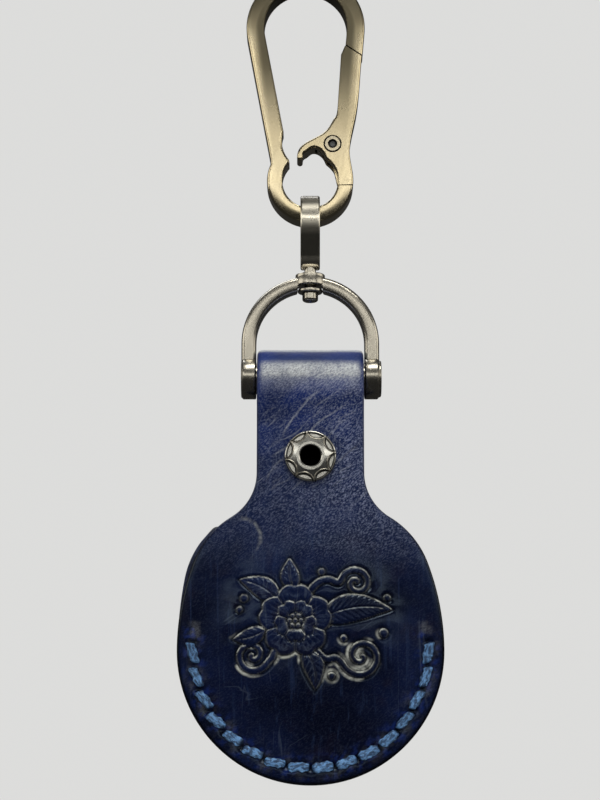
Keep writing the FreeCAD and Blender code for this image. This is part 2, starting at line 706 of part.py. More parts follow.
tail = STRAP_WIDTH / 2
corner = FLAP_CORNER
tail_edges = [
    line(at(-tail, pin_z), at(tail, pin_z)),
    line(at(tail, pin_z), at(tail, flap_end + corner)),
    arc(at(tail - corner, flap_end + corner), corner, -90, 0),
    line(at(tail - corner, flap_end), at(-tail + corner, flap_end)),
    arc(at(-tail + corner, flap_end + corner), corner, 180, 270),
    line(at(-tail, flap_end + corner), at(-tail, pin_z)),
]
flap = strap(1, flap_end - 1).common(plate(tail_edges, 0, fold_out + 1))
flap = flap.cut(cyl_y(CAP_POST, 0, fold_out + 1, 0, snap_z))
save("strap_flap", flap.removeSplitter())

# Eyelet: star of concave arcs under a dome, thin rim, barrel through the strap
eyelet_y = -layer_out
tips = [PETAL_TURN + 360 / PETALS * k for k in range(PETALS)]
spot = at(0, snap_z)
tip_reach = EYELET_RADIUS - EYELET_RIM * 0.6
star = []
for a in tips:
    p = polar(spot, tip_reach, a)
    dip = polar(spot, PETAL_DIP, a + 180 / PETALS)
    q = polar(spot, tip_reach, a + 360 / PETALS)
    star.append(Part.Arc(p, dip, q).toShape())
star = plate(star, eyelet_y - 2 * EYELET_CROWN, eyelet_y)
dome = lathe_y(
    [
        (0, eyelet_y),
        (EYELET_RADIUS, eyelet_y),
        (EYELET_RADIUS, eyelet_y - EYELET_CROWN * 0.52),
        (PETAL_DIP + EYELET_RIM, eyelet_y - EYELET_CROWN * 0.76),
        (barrel_out + EYELET_RIM, eyelet_y - EYELET_CROWN),
        (barrel_out, eyelet_y - EYELET_CROWN),
        (EYELET_HOLE, eyelet_y - EYELET_CROWN * 0.8),
        (0, eyelet_y - EYELET_CROWN * 0.8),
    ],
    0,
    snap_z,
)
flange = cyl_y(EYELET_RADIUS, eyelet_y - EYELET_FLANGE, eyelet_y, 0, snap_z)
lip_y = eyelet_y - EYELET_LIP
rim = cyl_y(EYELET_RADIUS, lip_y, eyelet_y, 0, snap_z)
rim = rounded(rim, EYELET_RIM * 0.65, lambda e: in_plane(e, "Y", lip_y))
rim = rim.cut(cyl_y(EYELET_RADIUS - EYELET_RIM, lip_y, eyelet_y, 0, snap_z))
barrel_end = seam_y + EYELET_BARREL
eyelet = flange.fuse(star.common(dome)).fuse(rim)
eyelet = eyelet.fuse(cyl_y(barrel_out, eyelet_y, barrel_end, 0, snap_z))
eyelet = eyelet.cut(cyl_y(EYELET_HOLE, eyelet_y - 2 * EYELET_CROWN, barrel_end, 0, snap_z))
save("snap_eyelet", eyelet.removeSplitter())

stud_end = layer_in - STUD_CLEAR
stud_in = barrel_out + PIN_GAP
stud = lathe_y(
    [
        (stud_in, seam_y),
        (STUD_FLANGE, seam_y),
        (STUD_FLANGE, seam_y + STUD_SHEET),
        (STUD_RADIUS, seam_y + STUD_SHEET),
        (STUD_RADIUS, stud_end - STUD_HEAD),
        (STUD_BULB, stud_end - STUD_HEAD * 0.75),
        (STUD_BULB, stud_end - STUD_HEAD * 0.35),
        (STUD_RADIUS * 0.9, stud_end),
        (0, stud_end),
        (0, stud_end - STUD_TOP),
        (stud_in, stud_end - STUD_TOP),
    ],
    0,
    snap_z,
)
save("snap_stud", stud)

mouth_y = seam_y + SOCKET_MOUTH
floor_y = layer_in - SOCKET_FLOOR
groove_y = (mouth_y + stud_end - WIRE_SEAT) / 2
groove_half = GROOVE_WIDTH / 2
socket = lathe_y(
    [
        (CAP_POST + PIN_GAP, layer_in),
        (SOCKET_RADIUS - SOCKET_EDGE, layer_in),
        (SOCKET_RADIUS, layer_in - SOCKET_EDGE),
        (SOCKET_RADIUS, mouth_y + SOCKET_LIP),
        (SOCKET_RADIUS - SOCKET_LIP, mouth_y),
        (SOCKET_BORE, mouth_y),
        (SOCKET_BORE, groove_y - groove_half),
        (SOCKET_BORE + GROOVE_DEPTH, groove_y - groove_half),
        (SOCKET_BORE + GROOVE_DEPTH, groove_y + groove_half),
        (SOCKET_BORE, groove_y + groove_half),
        (SOCKET_BORE, floor_y),
        (CAP_POST + PIN_GAP, floor_y),
    ],
    0,
    snap_z,
)
save("snap_socket", socket)

ring_mid = SOCKET_BORE + WIRE_SEAT
loop = Part.makeTorus(ring_mid, WIRE_RADIUS, V(0, groove_y, snap_z), V(0, 1, 0))
split = Part.makeBox(WIRE_SPLIT, GROOVE_WIDTH, SOCKET_RADIUS)
split.translate(V(-WIRE_SPLIT / 2, groove_y - groove_half, snap_z - SOCKET_RADIUS))
save("snap_ring", loop.cut(split))

cap_y = layer_out
cap = cyl_y(CAP_RADIUS, cap_y, cap_y + CAP_HEIGHT, 0, snap_z)
cap = rounded(cap, CAP_HEIGHT * 0.75, lambda e: in_plane(e, "Y", cap_y + CAP_HEIGHT))
clinch_y = floor_y - CLINCH_THICK
cap = cap.fuse(cyl_y(CAP_POST, clinch_y, cap_y, 0, snap_z))
cap = cap.fuse(cyl_y(CAP_POST + CLINCH_WIDTH, clinch_y, floor_y, 0, snap_z))
save("snap_cap", cap.removeSplitter())
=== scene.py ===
import math

import bpy
import numpy as np
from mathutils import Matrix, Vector
from mathutils.geometry import delaunay_2d_cdt


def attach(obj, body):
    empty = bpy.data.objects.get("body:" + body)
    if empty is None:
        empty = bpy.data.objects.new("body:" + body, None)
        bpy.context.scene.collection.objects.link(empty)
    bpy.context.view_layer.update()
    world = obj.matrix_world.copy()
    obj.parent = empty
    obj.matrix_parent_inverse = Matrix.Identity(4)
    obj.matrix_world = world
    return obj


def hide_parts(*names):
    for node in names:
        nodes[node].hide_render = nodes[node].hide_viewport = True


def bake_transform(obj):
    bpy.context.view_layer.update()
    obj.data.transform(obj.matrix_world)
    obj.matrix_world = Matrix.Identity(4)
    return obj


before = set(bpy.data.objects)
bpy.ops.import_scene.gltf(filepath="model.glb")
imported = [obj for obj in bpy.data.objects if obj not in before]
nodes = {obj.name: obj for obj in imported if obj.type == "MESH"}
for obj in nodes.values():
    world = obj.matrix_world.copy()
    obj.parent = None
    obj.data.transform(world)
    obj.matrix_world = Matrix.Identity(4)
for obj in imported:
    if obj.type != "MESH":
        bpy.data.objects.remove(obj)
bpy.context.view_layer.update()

MM = 0.001

# Sizes in mm, angles in degrees
PIN_Z = -77.025
SNAP_Z = -92.525
FLAP_END = -100.525
FLAP_CORNER = 4.0
MOUTH_Z = -103.925
POCKET_Z = -128.125
POCKET_R = 24.5
SIDE_R = 45.8
BACK_SIDE_R = 74.0
SHOULDER_R = 16.7
SHOULDER_RISE = 10.2
NECK_R = 9.8
HALF_STRAP = 10.0
LEATHER = 2.4
LAYER = 2.9
FOLD = 4.25
BEND = 10.2
# Domes: radius of the flat middle and of the foot, and height
FRONT_DOME = (8.5, 20.1, 2.2)
BACK_DOME = (14.14, 20.14, 5.8)

SEAM_Y = -1.7
STITCH_R = POCKET_R - 2.95
STITCHES = 16
STITCH_LIFT = 4.0
STITCH_SLANT = (17.0, -6.0)
STITCH_SHEAR = 0.6
STITCH_RINGS = 30
STITCH_AROUND = 26
STITCH_WIDTH = 0.9
STITCH_TALL = 0.44
STITCH_RISE = 0.2
STITCH_SINK = 0.95
# Each stitch's fatness, phase, sag, dye smear and dullness
STITCH_RANGES = ((0.9, 1.08), (0, 6.3), (-0.12, 0.12), (0.2, 1.0), (0.0, 0.6))

MOTIF = (0.4, -123.75)
NICK = (-12.6, -107.55)
NICK_R = 3.4
RIVET = (4.3, -31.5)
# Spans: middles and radii of two circles
CLIP_SPAN = ((-0.85, -8.0), (0.0, -38.8), (11.45, 8.25))
BOW_SPAN = ((0.0, -70.325), (0.0, PIN_Z), (13.0, 13.0))

CUSHION = (2.1, 0.36)
BOW_BAR = 2.8
BOW_CROWN = 0.22
# Swivel eye, heights in mm: ends of its bright part, middle of its painted shade under the arch, and half
# width of its painted highlight band
EYE_SHINE = (-48.6, -44.2)
EYE_SHADE = -43.4
EYE_BAND = 2.4
SPRING = (1.98, -32.13, -30.87)
SPRING_RADIUS = 0.5
SPRING_WIRE = 0.12
SPRING_TURNS = 3
SPRING_STEPS = 28
SPRING_AROUND = 10
PETALS = 8
PETAL_TURN = 8.5
PETAL_DIP = 3.25
PETAL_TIP = 4.53
PETAL_RIM = 4.4
PETAL_LINE = 0.26
EYELET_BORE = 2.25
SOCKET_BORE = 1.95
FAR = 9.0
ROW_SHARE = 0.866
WELDS_PER_MM = 2000
CHUNK = 4000

half = LEATHER / 2
fold_top = PIN_Z + math.pi * FOLD
flap_tip = fold_top + PIN_Z - FLAP_END
flap_snap = fold_top + PIN_Z - SNAP_Z
petal_part = math.pi / PETALS
petal_chord = PETAL_TIP * math.sin(petal_part)
petal_sag = PETAL_TIP * math.cos(petal_part) - PETAL_DIP
petal_radius = (petal_chord ** 2 + petal_sag ** 2) / (2 * petal_sag)


def smooth(a, b, x):
    t = np.clip((x - a) / (b - a), 0.0, 1.0)
    return t * t * (3 - 2 * t)


def bell(x, width):
    return np.exp(-(x / width) ** 2)


def wave_noise(x, z, scale, seed, octaves=3):
    """Smooth repeatable noise about -1 to 1, made of turned sine waves."""
    rng = np.random.default_rng(seed)
    total = np.zeros_like(x)
    gain = 1.0
    for _ in range(octaves):
        for _ in range(5):
            a = rng.uniform(0, 2 * math.pi)
            p = rng.uniform(0, 2 * math.pi)
            k = 2 * math.pi / scale * rng.uniform(0.7, 1.4)
            total += gain * 0.35 * np.sin(k * (x * math.cos(a) + z * math.sin(a)) + p)
        scale *= 0.5
        gain *= 0.55
    return total


# Outline of the leather cuts, as points with their inward normals
def arc_points(cx, cz, radius, start, end, step=0.45):
    count = max(2, int(math.ceil(abs(math.radians(end - start)) * radius / step)))
    angles = np.radians(np.linspace(start, end, count + 1))
    return np.stack([cx + radius * np.cos(angles), cz + radius * np.sin(angles)], 1)


def line_points(p, q, step=0.45):
    count = max(1, int(math.ceil(math.dist(p, q) / step)))
    t = np.linspace(0, 1, count + 1)[:, None]
    return np.array(p) * (1 - t) + np.array(q) * t


def flank(side_radius):
    """Right side from the lowest point up to the start of the straight strap."""
    cx = POCKET_R - side_radius
    meet = math.degrees(math.asin(SHOULDER_RISE / (side_radius - SHOULDER_R)))
    sx = cx + (side_radius - SHOULDER_R) * math.cos(math.radians(meet))
    sz = POCKET_Z + SHOULDER_RISE
    nx = HALF_STRAP + NECK_R
    nz = sz + math.sqrt((SHOULDER_R + NECK_R) ** 2 - (nx - sx) ** 2)
    turn = math.degrees(math.atan2(nz - sz, nx - sx))
    return np.concatenate([
        arc_points(0, POCKET_Z, POCKET_R, -90, 0),
        arc_points(cx, POCKET_Z, side_radius, 0, meet)[1:],
        arc_points(sx, sz, SHOULDER_R, meet, turn)[1:],
        arc_points(nx, nz, NECK_R, 180 + turn, 180)[1:],
    ])


def mirrored(points):
    return (points * [-1, 1])[::-1]


def front_loop():
    """Front disc, strap, fold and flap as one flat cut."""
    corner = (HALF_STRAP - FLAP_CORNER, flap_tip - FLAP_CORNER)
    side = flank(SIDE_R)
    stops = [side[-1]] + [(HALF_STRAP, z) for z in (PIN_Z, fold_top, corner[1])]
    right = np.concatenate([
        side,
        *(line_points(p, q)[1:] for p, q in zip(stops, stops[1:])),
        arc_points(*corner, FLAP_CORNER, 0, 90)[1:],
        line_points((corner[0], flap_tip), (0, flap_tip))[1:],
    ])
    return np.concatenate([right, mirrored(right)[1:-1]])


def back_loop():
    """Back cut, shut off by the mouth; its left flank stands wider."""
    def half_side(side_radius):
        side = flank(side_radius)
        end = np.interp(MOUTH_Z, side[:, 1], side[:, 0])
        side = side[side[:, 1] < MOUTH_Z - 0.9]
        soft = np.array([(end - 0.02, MOUTH_Z - 0.35), (end - 0.5, MOUTH_Z - 0.06)])
        return np.concatenate([side, soft, line_points((end - 1.1, MOUTH_Z), (0, MOUTH_Z))])

    right = half_side(SIDE_R)
    return np.concatenate([right, mirrored(half_side(BACK_SIDE_R))[1:-1]])


def inward(loop):
    along = np.roll(loop, -1, 0) - np.roll(loop, 1, 0)
    along /= np.linalg.norm(along, axis=1)[:, None]
    return np.stack([-along[:, 1], along[:, 0]], 1)


def away(points, x, z):
    """Distance of each point from one place."""
    return np.hypot(points[:, 0] - x, points[:, 1] - z)


def gap_to(points, loop):
    """Distance of each point from the loop's points."""
    parts = np.array_split(points, len(points) // CHUNK + 1)
    return np.concatenate([np.sqrt(((p[:, None] - loop) ** 2).sum(2).min(1)) for p in parts])


def inside(points, loop):
    """Even-odd test of points against a closed loop."""
    hit = np.zeros(len(points), bool)
    x, z = points.T
    for a, b in zip(loop, np.roll(loop, -1, 0)):
        if a[1] == b[1]:
            continue
        between = (z < a[1]) != (z < b[1])
        hit ^= between & (x < a[0] + (z - a[1]) * (b[0] - a[0]) / (b[1] - a[1]))
    return hit


def lattice(box, step):
    x0, x1, z0, z1 = box
    rows = int((z1 - z0) / (step * ROW_SHARE)) + 1
    cols = int((x1 - x0) / step) + 1
    j, i = np.meshgrid(np.arange(rows), np.arange(cols), indexing="ij")
    x = x0 + (i + 0.5 * (j % 2)) * step
    z = z0 + j * step * ROW_SHARE
    return np.stack([x.ravel(), z.ravel()], 1)


def triangulate(loop, rim, grids, cuts=(), holes=()):
    """Triangles over a loop, with offset rims, lattices, straight cuts and round holes.

    The rim gives the inward distances; grids are (box, step) with finer ones first. Returns
    the points, triangles and each point's distance from the loop."""
    rims = [inset for inset, _ in rim]
    normals = inward(loop)
    points = [loop] + [loop + normals * d for d in rims]
    depth = [np.full(len(loop), d) for d in (0.0, *rims)]
    count = len(loop)
    edges = [(i, (i + 1) % count) for i in range(count)]
    total = count * (1 + len(rims))
    for z in cuts:
        row = line_points((-HALF_STRAP, z), (HALF_STRAP, z))[1:-1]
        row = row[np.abs(row[:, 0]) < HALF_STRAP - rims[-1] - 0.1]
        near = [int(np.argmin(np.abs(loop - [s * HALF_STRAP, z]).sum(1))) for s in (-1, 1)]
        left, right = ([i + count * r for r in range(len(rims) + 1)] for i in near)
        ids = left + list(range(total, total + len(row))) + right[::-1]
        edges += list(zip(ids, ids[1:]))
        points.append(row)
        depth.append(HALF_STRAP - np.abs(row[:, 0]))
        total += len(row)
    for x, z, r in holes:
        ring = arc_points(x, z, r, 0, 360, 0.4)[:-1]
        edges += [(total + i, total + (i + 1) % len(ring)) for i in range(len(ring))]
        points.append(ring)
        depth.append(gap_to(ring, loop))
        total += len(ring)
    fine = []
    for box, step in grids:
        grid = lattice(box, step)
        keep = inside(grid, loop)
        across, up = grid.T
        m = step * 0.55
        for x0, x1, z0, z1 in fine:
            keep &= ~((across > x0 - m) & (across < x1 + m) & (up > z0 - m) & (up < z1 + m))
        for x, z, r in holes:
            keep &= away(grid, x, z) > r + step * 0.4
        for z in cuts:
            keep &= np.abs(up - z) > step * 0.4
        grid = grid[keep]
        d = gap_to(grid, loop)
        ok = d > rims[-1] + step * 0.45
        points.append(grid[ok])
        depth.append(d[ok])
        fine.append(box)
    points = np.concatenate(points)
    depth = np.concatenate(depth)
    made = delaunay_2d_cdt([Vector(p) for p in points], edges, [], 1, 1e-7)
    coords = np.array(made[0])
    source = np.array([ids[0] if ids else 0 for ids in made[3]])
    tris = np.array(made[2])
    for x, z, r in holes:
        tris = tris[away(coords[tris].mean(1), x, z) > r]
    return coords, tris, depth[source]


def add_object(name, data):
    obj = bpy.data.objects.new(name, data)
    bpy.context.scene.collection.objects.link(obj)
    return obj


def mesh_object(name, verts_mm, faces, material, smooth_shade=True):
    mesh = bpy.data.meshes.new(name)
    verts = np.asarray(verts_mm, float) * MM
    mesh.from_pydata(verts.tolist(), [], [tuple(int(i) for i in f) for f in faces])
    mesh.update()
    if smooth_shade:
        mesh.shade_smooth()
    mesh.materials.append(material)
    return add_object(name, mesh)


# Materials
class Nodes:
    """A few short calls for building the nodes of a material or a world."""

    def __init__(self, owner, place):
        owner.use_nodes = True
        self.owner = owner
        self.tree = owner.node_tree
        self.tree.nodes.clear()
        self.place = self.add("TexCoord").outputs[place]

    def add(self, kind, **settings):
        node = self.tree.nodes.new("ShaderNode" + kind)
        for key, value in settings.items():
            setattr(node, key, value)
        return node

    def feed(self, socket, value):
        if isinstance(value, bpy.types.NodeSocket):
            self.tree.links.new(value, socket)
        else:
            socket.default_value = (*value, 1.0) if socket.type == "RGBA" else value

    def fill(self, node, **values):
        """Feeds a node's inputs by name, with _ for a space, and returns its outputs."""
        for key, value in values.items():
            self.feed(node.inputs[key.replace("_", " ")], value)
        return node.outputs

    def mapped(self, stretch, turn=(0, 0, 0)):
        """Coordinates along turned axes, on which a pattern is drawn out by stretch."""
        node = self.add("Mapping", vector_type="TEXTURE")
        return self.fill(node, Vector=self.place, Scale=stretch, Rotation=turn)[0]

    def axes(self, vector=None):
        return self.fill(self.add("SeparateXYZ"), Vector=vector or self.place)

    def noise(self, scale, detail=3.0, rough=0.5, vector=None, distort=0.0):
        return self.fill(self.add("TexNoise"), Vector=vector or self.place, Scale=scale, Detail=detail,
                         Roughness=rough, Distortion=distort)["Fac"]

    def attribute(self, name):
        """Red, green and blue of a painted layer, and its alpha."""
        node = self.add("Attribute", attribute_name=name)
        return self.fill(self.add("SeparateColor"), Color=node.outputs["Color"]), node.outputs["Alpha"]

    def ramp(self, value, low, high, out_low=0.0, out_high=1.0, shape="SMOOTHSTEP"):
        node = self.add("MapRange", interpolation_type=shape)
        return self.fill(node, Value=value, From_Min=low, From_Max=high, To_Min=out_low, To_Max=out_high)[0]

    def apply(self, kind, how, terms, out):
        node = self.add(kind, operation=how)
        for socket, term in zip(node.inputs, terms):
            self.feed(socket, term)
        return node.outputs[out]

    def math(self, how, *terms):
        return self.apply("Math", how, terms, "Value")

    def vector(self, how, *terms, out="Vector"):
        return self.apply("VectorMath", how, terms, out)

    def times(self, value, *factors):
        for factor in factors:
            value = self.math("MULTIPLY", value, factor)
        return value

    def plus(self, a, b):
        return self.math("ADD", a, b)

    def minus(self, a, b):
        return self.math("SUBTRACT", a, b)

    def flat(self, x, z):
        """Place in mm in the XZ plane, seen from a point of it."""
        place = self.vector("MULTIPLY", self.place, (1000, 0, 1000))
        return self.vector("SUBTRACT", place, (x, 0, z))

    def radius(self, x, z):
        return self.vector("LENGTH", self.flat(x, z), out="Value")

    def depth(self, top, low, radii):
        """Distance in mm inside the outline that two circles of the XZ plane span."""
        axis = np.array(low) - top
        pull = axis / (axis @ axis)
        place = self.flat(*top)
        along = self.vector("DOT_PRODUCT", place, (pull[0], 0, pull[1]), out="Value")
        along = self.math("MINIMUM", self.math("MAXIMUM", along, 0.0), 1.0)
        spine = self.vector("MULTIPLY", along, (axis[0], 0, axis[1]))
        gap = self.vector("LENGTH", self.vector("SUBTRACT", place, spine), out="Value")
        reach = self.plus(self.times(along, radii[1] - radii[0]), radii[0])
        return self.minus(reach, gap)

    def band(self, value, middle, half_width):
        """One in the middle of a band of values, falling to nothing at its sides."""
        off = self.math("ABSOLUTE", self.minus(value, middle))
        return self.ramp(off, 0.0, half_width, 1.0, 0.0)

    def mix(self, fac, a, b):
        node = self.add("Mix", data_type="RGBA")
        for k, value in ((0, fac), (6, a), (7, b)):
            self.feed(node.inputs[k], value)
        return node.outputs[2]

    def bump(self, height, strength, distance, **under):
        return self.fill(self.add("Bump"), Height=height, Strength=strength, Distance=distance, **under)[0]


class Finish(Nodes):
    """Nodes of one material, whose shader takes values by name."""

    def __init__(self, name):
        super().__init__(bpy.data.materials.new(name), "Object")
        self.shader = self.add("BsdfPrincipled")
        self.fill(self.add("OutputMaterial"), Surface=self.shader.outputs[0])

    def set(self, **values):
        self.fill(self.shader, **values)


NAVY = ((0.0015, 0.0032, 0.016), (0.0036, 0.0085, 0.041))
PLUM = (0.0085, 0.005, 0.013)
BRUSHED_BLUE = (0.014, 0.026, 0.075)
DYE_BLUE = (0.009, 0.027, 0.18)
# Painted glints on the grain, standing in for sheen
FIBRE_GLINT = (0.23, 0.265, 0.42)
# Painted sheen and highlight on the fold, also pale wax smears and scratches
SHEEN_AND_WAX_TONE = (0.72, 0.76, 0.79)
PALE_SLASH = (0.3, 0.33, 0.42)
PALE_SCORE = (0.1, 0.13, 0.19)
# Black burnished edges and dye pooled in the relief's ditches, also painted shade round the stitch holes
BURNISHED_AND_SHADE = (0.0012, 0.0014, 0.0022)
# Wax in the relief's hollows, also painted highlights on the relief's edges
WAX_AND_HIGHLIGHT = (0.66, 0.69, 0.65)
FLESH = ((0.012, 0.017, 0.042), (0.03, 0.04, 0.085))
FLESH_FUZZ = (0.075, 0.085, 0.13)
THREAD = ((0.06, 0.19, 0.48), (0.24, 0.5, 0.92))
THREAD_DULL = (0.06, 0.15, 0.32)
THREAD_DIRT = (0.012, 0.032, 0.085)
# Dye smears on the thread, also painted shade along its sides and where it dives in
THREAD_DYE_AND_SHADE = (0.006, 0.012, 0.034)

# Metals: light and dark tone, roughness, speck tone, depth of the pits
WARM_NICKEL = ((0.54, 0.47, 0.32), (0.47, 0.405, 0.265), 0.2, (0.2, 0.17, 0.11), 0.012)
RIVET_NICKEL = ((0.5, 0.45, 0.34), (0.42, 0.38, 0.28), 0.22, (0.15, 0.14, 0.12), 0.03)
GREY_NICKEL = ((0.46, 0.435, 0.375), (0.385, 0.365, 0.315), 0.27, (0.17, 0.16, 0.13), 0.06)
SNAP_NICKEL = ((0.6, 0.6, 0.56), (0.48, 0.48, 0.455), 0.24, (0.1, 0.1, 0.1), 0.06)
SPRING_STEEL = ((0.5, 0.5, 0.5), (0.36, 0.36, 0.36), 0.25, (0.2, 0.2, 0.2), 0.1)
# Rings on the rivet: radius where each starts and is full, and its tone; a dark seam at its edge, painted
# shade in its dimple, and a lighter painted highlight at the dimple's middle
RIVET_RINGS = (
    (1.38, 1.52, (0.015, 0.015, 0.013)),
    (0.95, 0.84, (0.012, 0.012, 0.013)),
    (0.6, 0.4, (0.2, 0.21, 0.22)),
)
RIVET_SEAT = (1.66, 0.14)
# Painted shade on the clip's inner faces and crown
CLIP_SHADE = (0.085, 0.077, 0.052)
SEAT_BLACK = (0.01, 0.01, 0.01)
# Painted shade and painted highlight of the swivel's eye
EYE_SHADE_TONE = (0.03, 0.03, 0.027)
EYE_HIGHLIGHT = (0.9, 0.86, 0.74)
# Painted shade along the eyelet's petal edges and in its bore
PETAL_LINE_SHADE = (0.012, 0.012, 0.012)
BORE_SHADE = (0.002, 0.002, 0.002)


def leather_material():
    """Hand-dyed navy leather with a waxed face: fibres, brushed dye, scratches, dark burnished edges, and
    painted glints, sheen, highlights and shade.
    """
    n = Finish("leather_navy")
    tone, pale = n.attribute("tone")
    spot = n.axes()
    strap = n.ramp(spot["Z"], (POCKET_Z + 12) * MM, (POCKET_Z + 30) * MM)
    cloud = n.noise(70, 4, 0.55)
    drift = n.noise(190, 3, 0.6)
    grain = n.noise(3400, 2, 0.6)
    fibre = n.noise(5200, 3, 0.7, n.mapped((1, 1, 2.4), (0, math.radians(52), 0)))
    streak = n.noise(900, 3, 0.6, n.mapped((1, 1, 18)))

    def scratches(scale, turn, mask, low, high, width):
        """Thin broken lines along one direction."""
        wave = n.noise(scale, 1.5, 0.4, n.mapped((1, 1, 20), (0, math.radians(turn), 0)), 0.1)
        return n.times(n.band(wave, 0.5, width), n.ramp(mask, low, high))

    slash = n.times(scratches(170, 55, drift, 0.5, 0.62, 0.009), strap)
    score = n.math("MAXIMUM", scratches(260, 2, cloud, 0.5, 0.62, 0.009),
                   scratches(130, 62, n.noise(120, 2), 0.52, 0.64, 0.006))
    colour = n.mix(n.ramp(cloud, 0.35, 0.68), *NAVY)
    colour = n.mix(n.ramp(drift, 0.52, 0.75, 0, 0.5), colour, PLUM)
    colour = n.mix(n.ramp(streak, 0.56, 0.72, 0, 0.6), colour, BRUSHED_BLUE)
    colour = n.mix(tone["Green"], colour, DYE_BLUE)
    # Painted sheen: glints on the fibres, more towards the right of the strap, faint on the disc and fewer
    # on the fold
    sheen_share = n.plus(n.times(strap, n.ramp(spot["X"], -0.009, 0.009, 0.42, 1.0)), 0.05)
    bend = n.ramp(spot["Z"], (PIN_Z + 0.8) * MM, (PIN_Z + 2.4) * MM, 1.0, 0.1)
    colour = n.mix(n.times(n.ramp(fibre, 0.44, 0.68), sheen_share, bend), colour, FIBRE_GLINT)
    # Painted sheen band and crest highlight on the fold, with pale wax smears along the seam and pale
    # scratches
    sheen_and_wax = n.times(pale, n.ramp(fibre, 0.32, 0.62, 0.35, 1.0))
    colour = n.mix(sheen_and_wax, colour, SHEEN_AND_WAX_TONE)
    colour = n.mix(n.times(slash, 0.5), colour, PALE_SLASH)
    colour = n.mix(n.times(score, 0.22), colour, PALE_SCORE)
    # Dark burnished edges and pooled dye, with painted shade round the stitch holes
    colour = n.mix(tone["Red"], colour, BURNISHED_AND_SHADE)
    # Wax in the relief's hollows and pale nicks, with painted highlights along the relief's edges
    wax = n.times(tone["Blue"], n.ramp(n.noise(900, 3), 0.3, 0.6, 0.25, 1.0))
    colour = n.mix(wax, colour, WAX_AND_HIGHLIGHT)
    rough = n.plus(n.ramp(cloud, 0.3, 0.7, 0.15, 0.21), n.times(strap, 0.21))
    n.set(Base_Color=colour, Roughness=n.plus(rough, n.times(wax, 0.25)))
    n.set(Specular_IOR_Level=0.2, Specular_Tint=(0.55, 0.75, 1.0))
    rise = n.times(n.plus(fibre, n.times(grain, 0.5)), n.plus(n.times(strap, 0.75), 0.25))
    relief = n.bump(rise, 0.5, 0.00012)
    n.set(Normal=n.bump(n.math("MAXIMUM", slash, score), -0.4, 0.00008, Normal=relief))
    return n.owner


def flesh_material():
    """Rough inner side of the same hide."""
    n = Finish("leather_flesh")
    fuzz = n.noise(3200, 4, 0.7)
    patch = n.noise(240, 4, 0.6)
    colour = n.mix(n.ramp(patch, 0.35, 0.7), *FLESH)
    colour = n.mix(n.ramp(fuzz, 0.5, 0.75, 0, 0.6), colour, FLESH_FUZZ)
    n.set(Base_Color=colour, Roughness=n.ramp(fuzz, 0.3, 0.7, 0.75, 0.95), Specular_IOR_Level=0.25)
    n.set(Normal=n.bump(fuzz, 0.8, 0.0002, Normal=n.bump(patch, 0.4, 0.0004)))
    return n.owner


def thread_material():
    """Waxed pale blue thread with fibres along each strand, dark where dye has rubbed in, with painted
    shade along each strand's sides and where it dives into its holes.
    """
    n = Finish("thread_blue")
    strand = n.add("Attribute", attribute_name="strand").outputs["Vector"]
    fibre = n.noise(1.0, 3, 0.65, n.vector("MULTIPLY", strand, (1.6, 9.0, 7.0)))
    dirt = n.noise(1.0, 3, 0.65, n.vector("MULTIPLY", strand, (1.7, 1.6, 5.0)))
    tone, _ = n.attribute("tone")
    colour = n.mix(n.ramp(fibre, 0.32, 0.66), *THREAD)
    colour = n.mix(tone["Green"], colour, THREAD_DULL)
    colour = n.mix(n.ramp(dirt, 0.42, 0.57, 0, 0.85), colour, THREAD_DIRT)
    # Dye smears, with painted shade along each strand's sides and ends
    ragged = n.plus(tone["Red"], n.times(n.minus(fibre, 0.5), 0.9))
    colour = n.mix(n.ramp(ragged, 0.3, 0.75), colour, THREAD_DYE_AND_SHADE)
    n.set(Base_Color=colour, Roughness=n.ramp(fibre, 0.3, 0.7, 0.6, 0.45), Specular_IOR_Level=0.4)
    n.set(Normal=n.bump(fibre, 0.8, 0.00016))
    return n.owner


def metal_material(name, light, dark, rough, speck_tone, pits):
    """Tumbled, lacquered antique nickel: soft clouds, fine brushing and small pits."""
    n = Finish(name)
    cloud = n.noise(150, 3, 0.55)
    brush = n.noise(1800, 3, 0.6, n.mapped((1, 1, 8), (0, 0.25, 0)))
    speck = n.noise(2600, 2, 0.5)
    n.colour = n.mix(n.ramp(cloud, 0.3, 0.72), dark, light)
    n.colour = n.mix(n.ramp(speck, 0.7, 0.78, 0, 0.2), n.colour, speck_tone)
    n.shine = n.ramp(cloud, 0.3, 0.7, rough - 0.015, rough + 0.02)
    n.shine = n.plus(n.shine, n.ramp(brush, 0.35, 0.7, -0.01, 0.02))
    n.relief = n.bump(speck, pits, 0.00006, Normal=n.bump(brush, pits * 0.4, 0.00004))
    return n


def seam_and_shade(n, mask, shade):
    """Dark, dull metal where the mask is one, for dark seams and for painted shade."""
    n.colour = n.mix(mask, n.colour, shade)
    n.shine = n.plus(n.shine, n.times(mask, 0.25))


def finished(n):
    n.set(Base_Color=n.colour, Metallic=1.0, Roughness=n.shine, Normal=n.relief)
    return n.owner


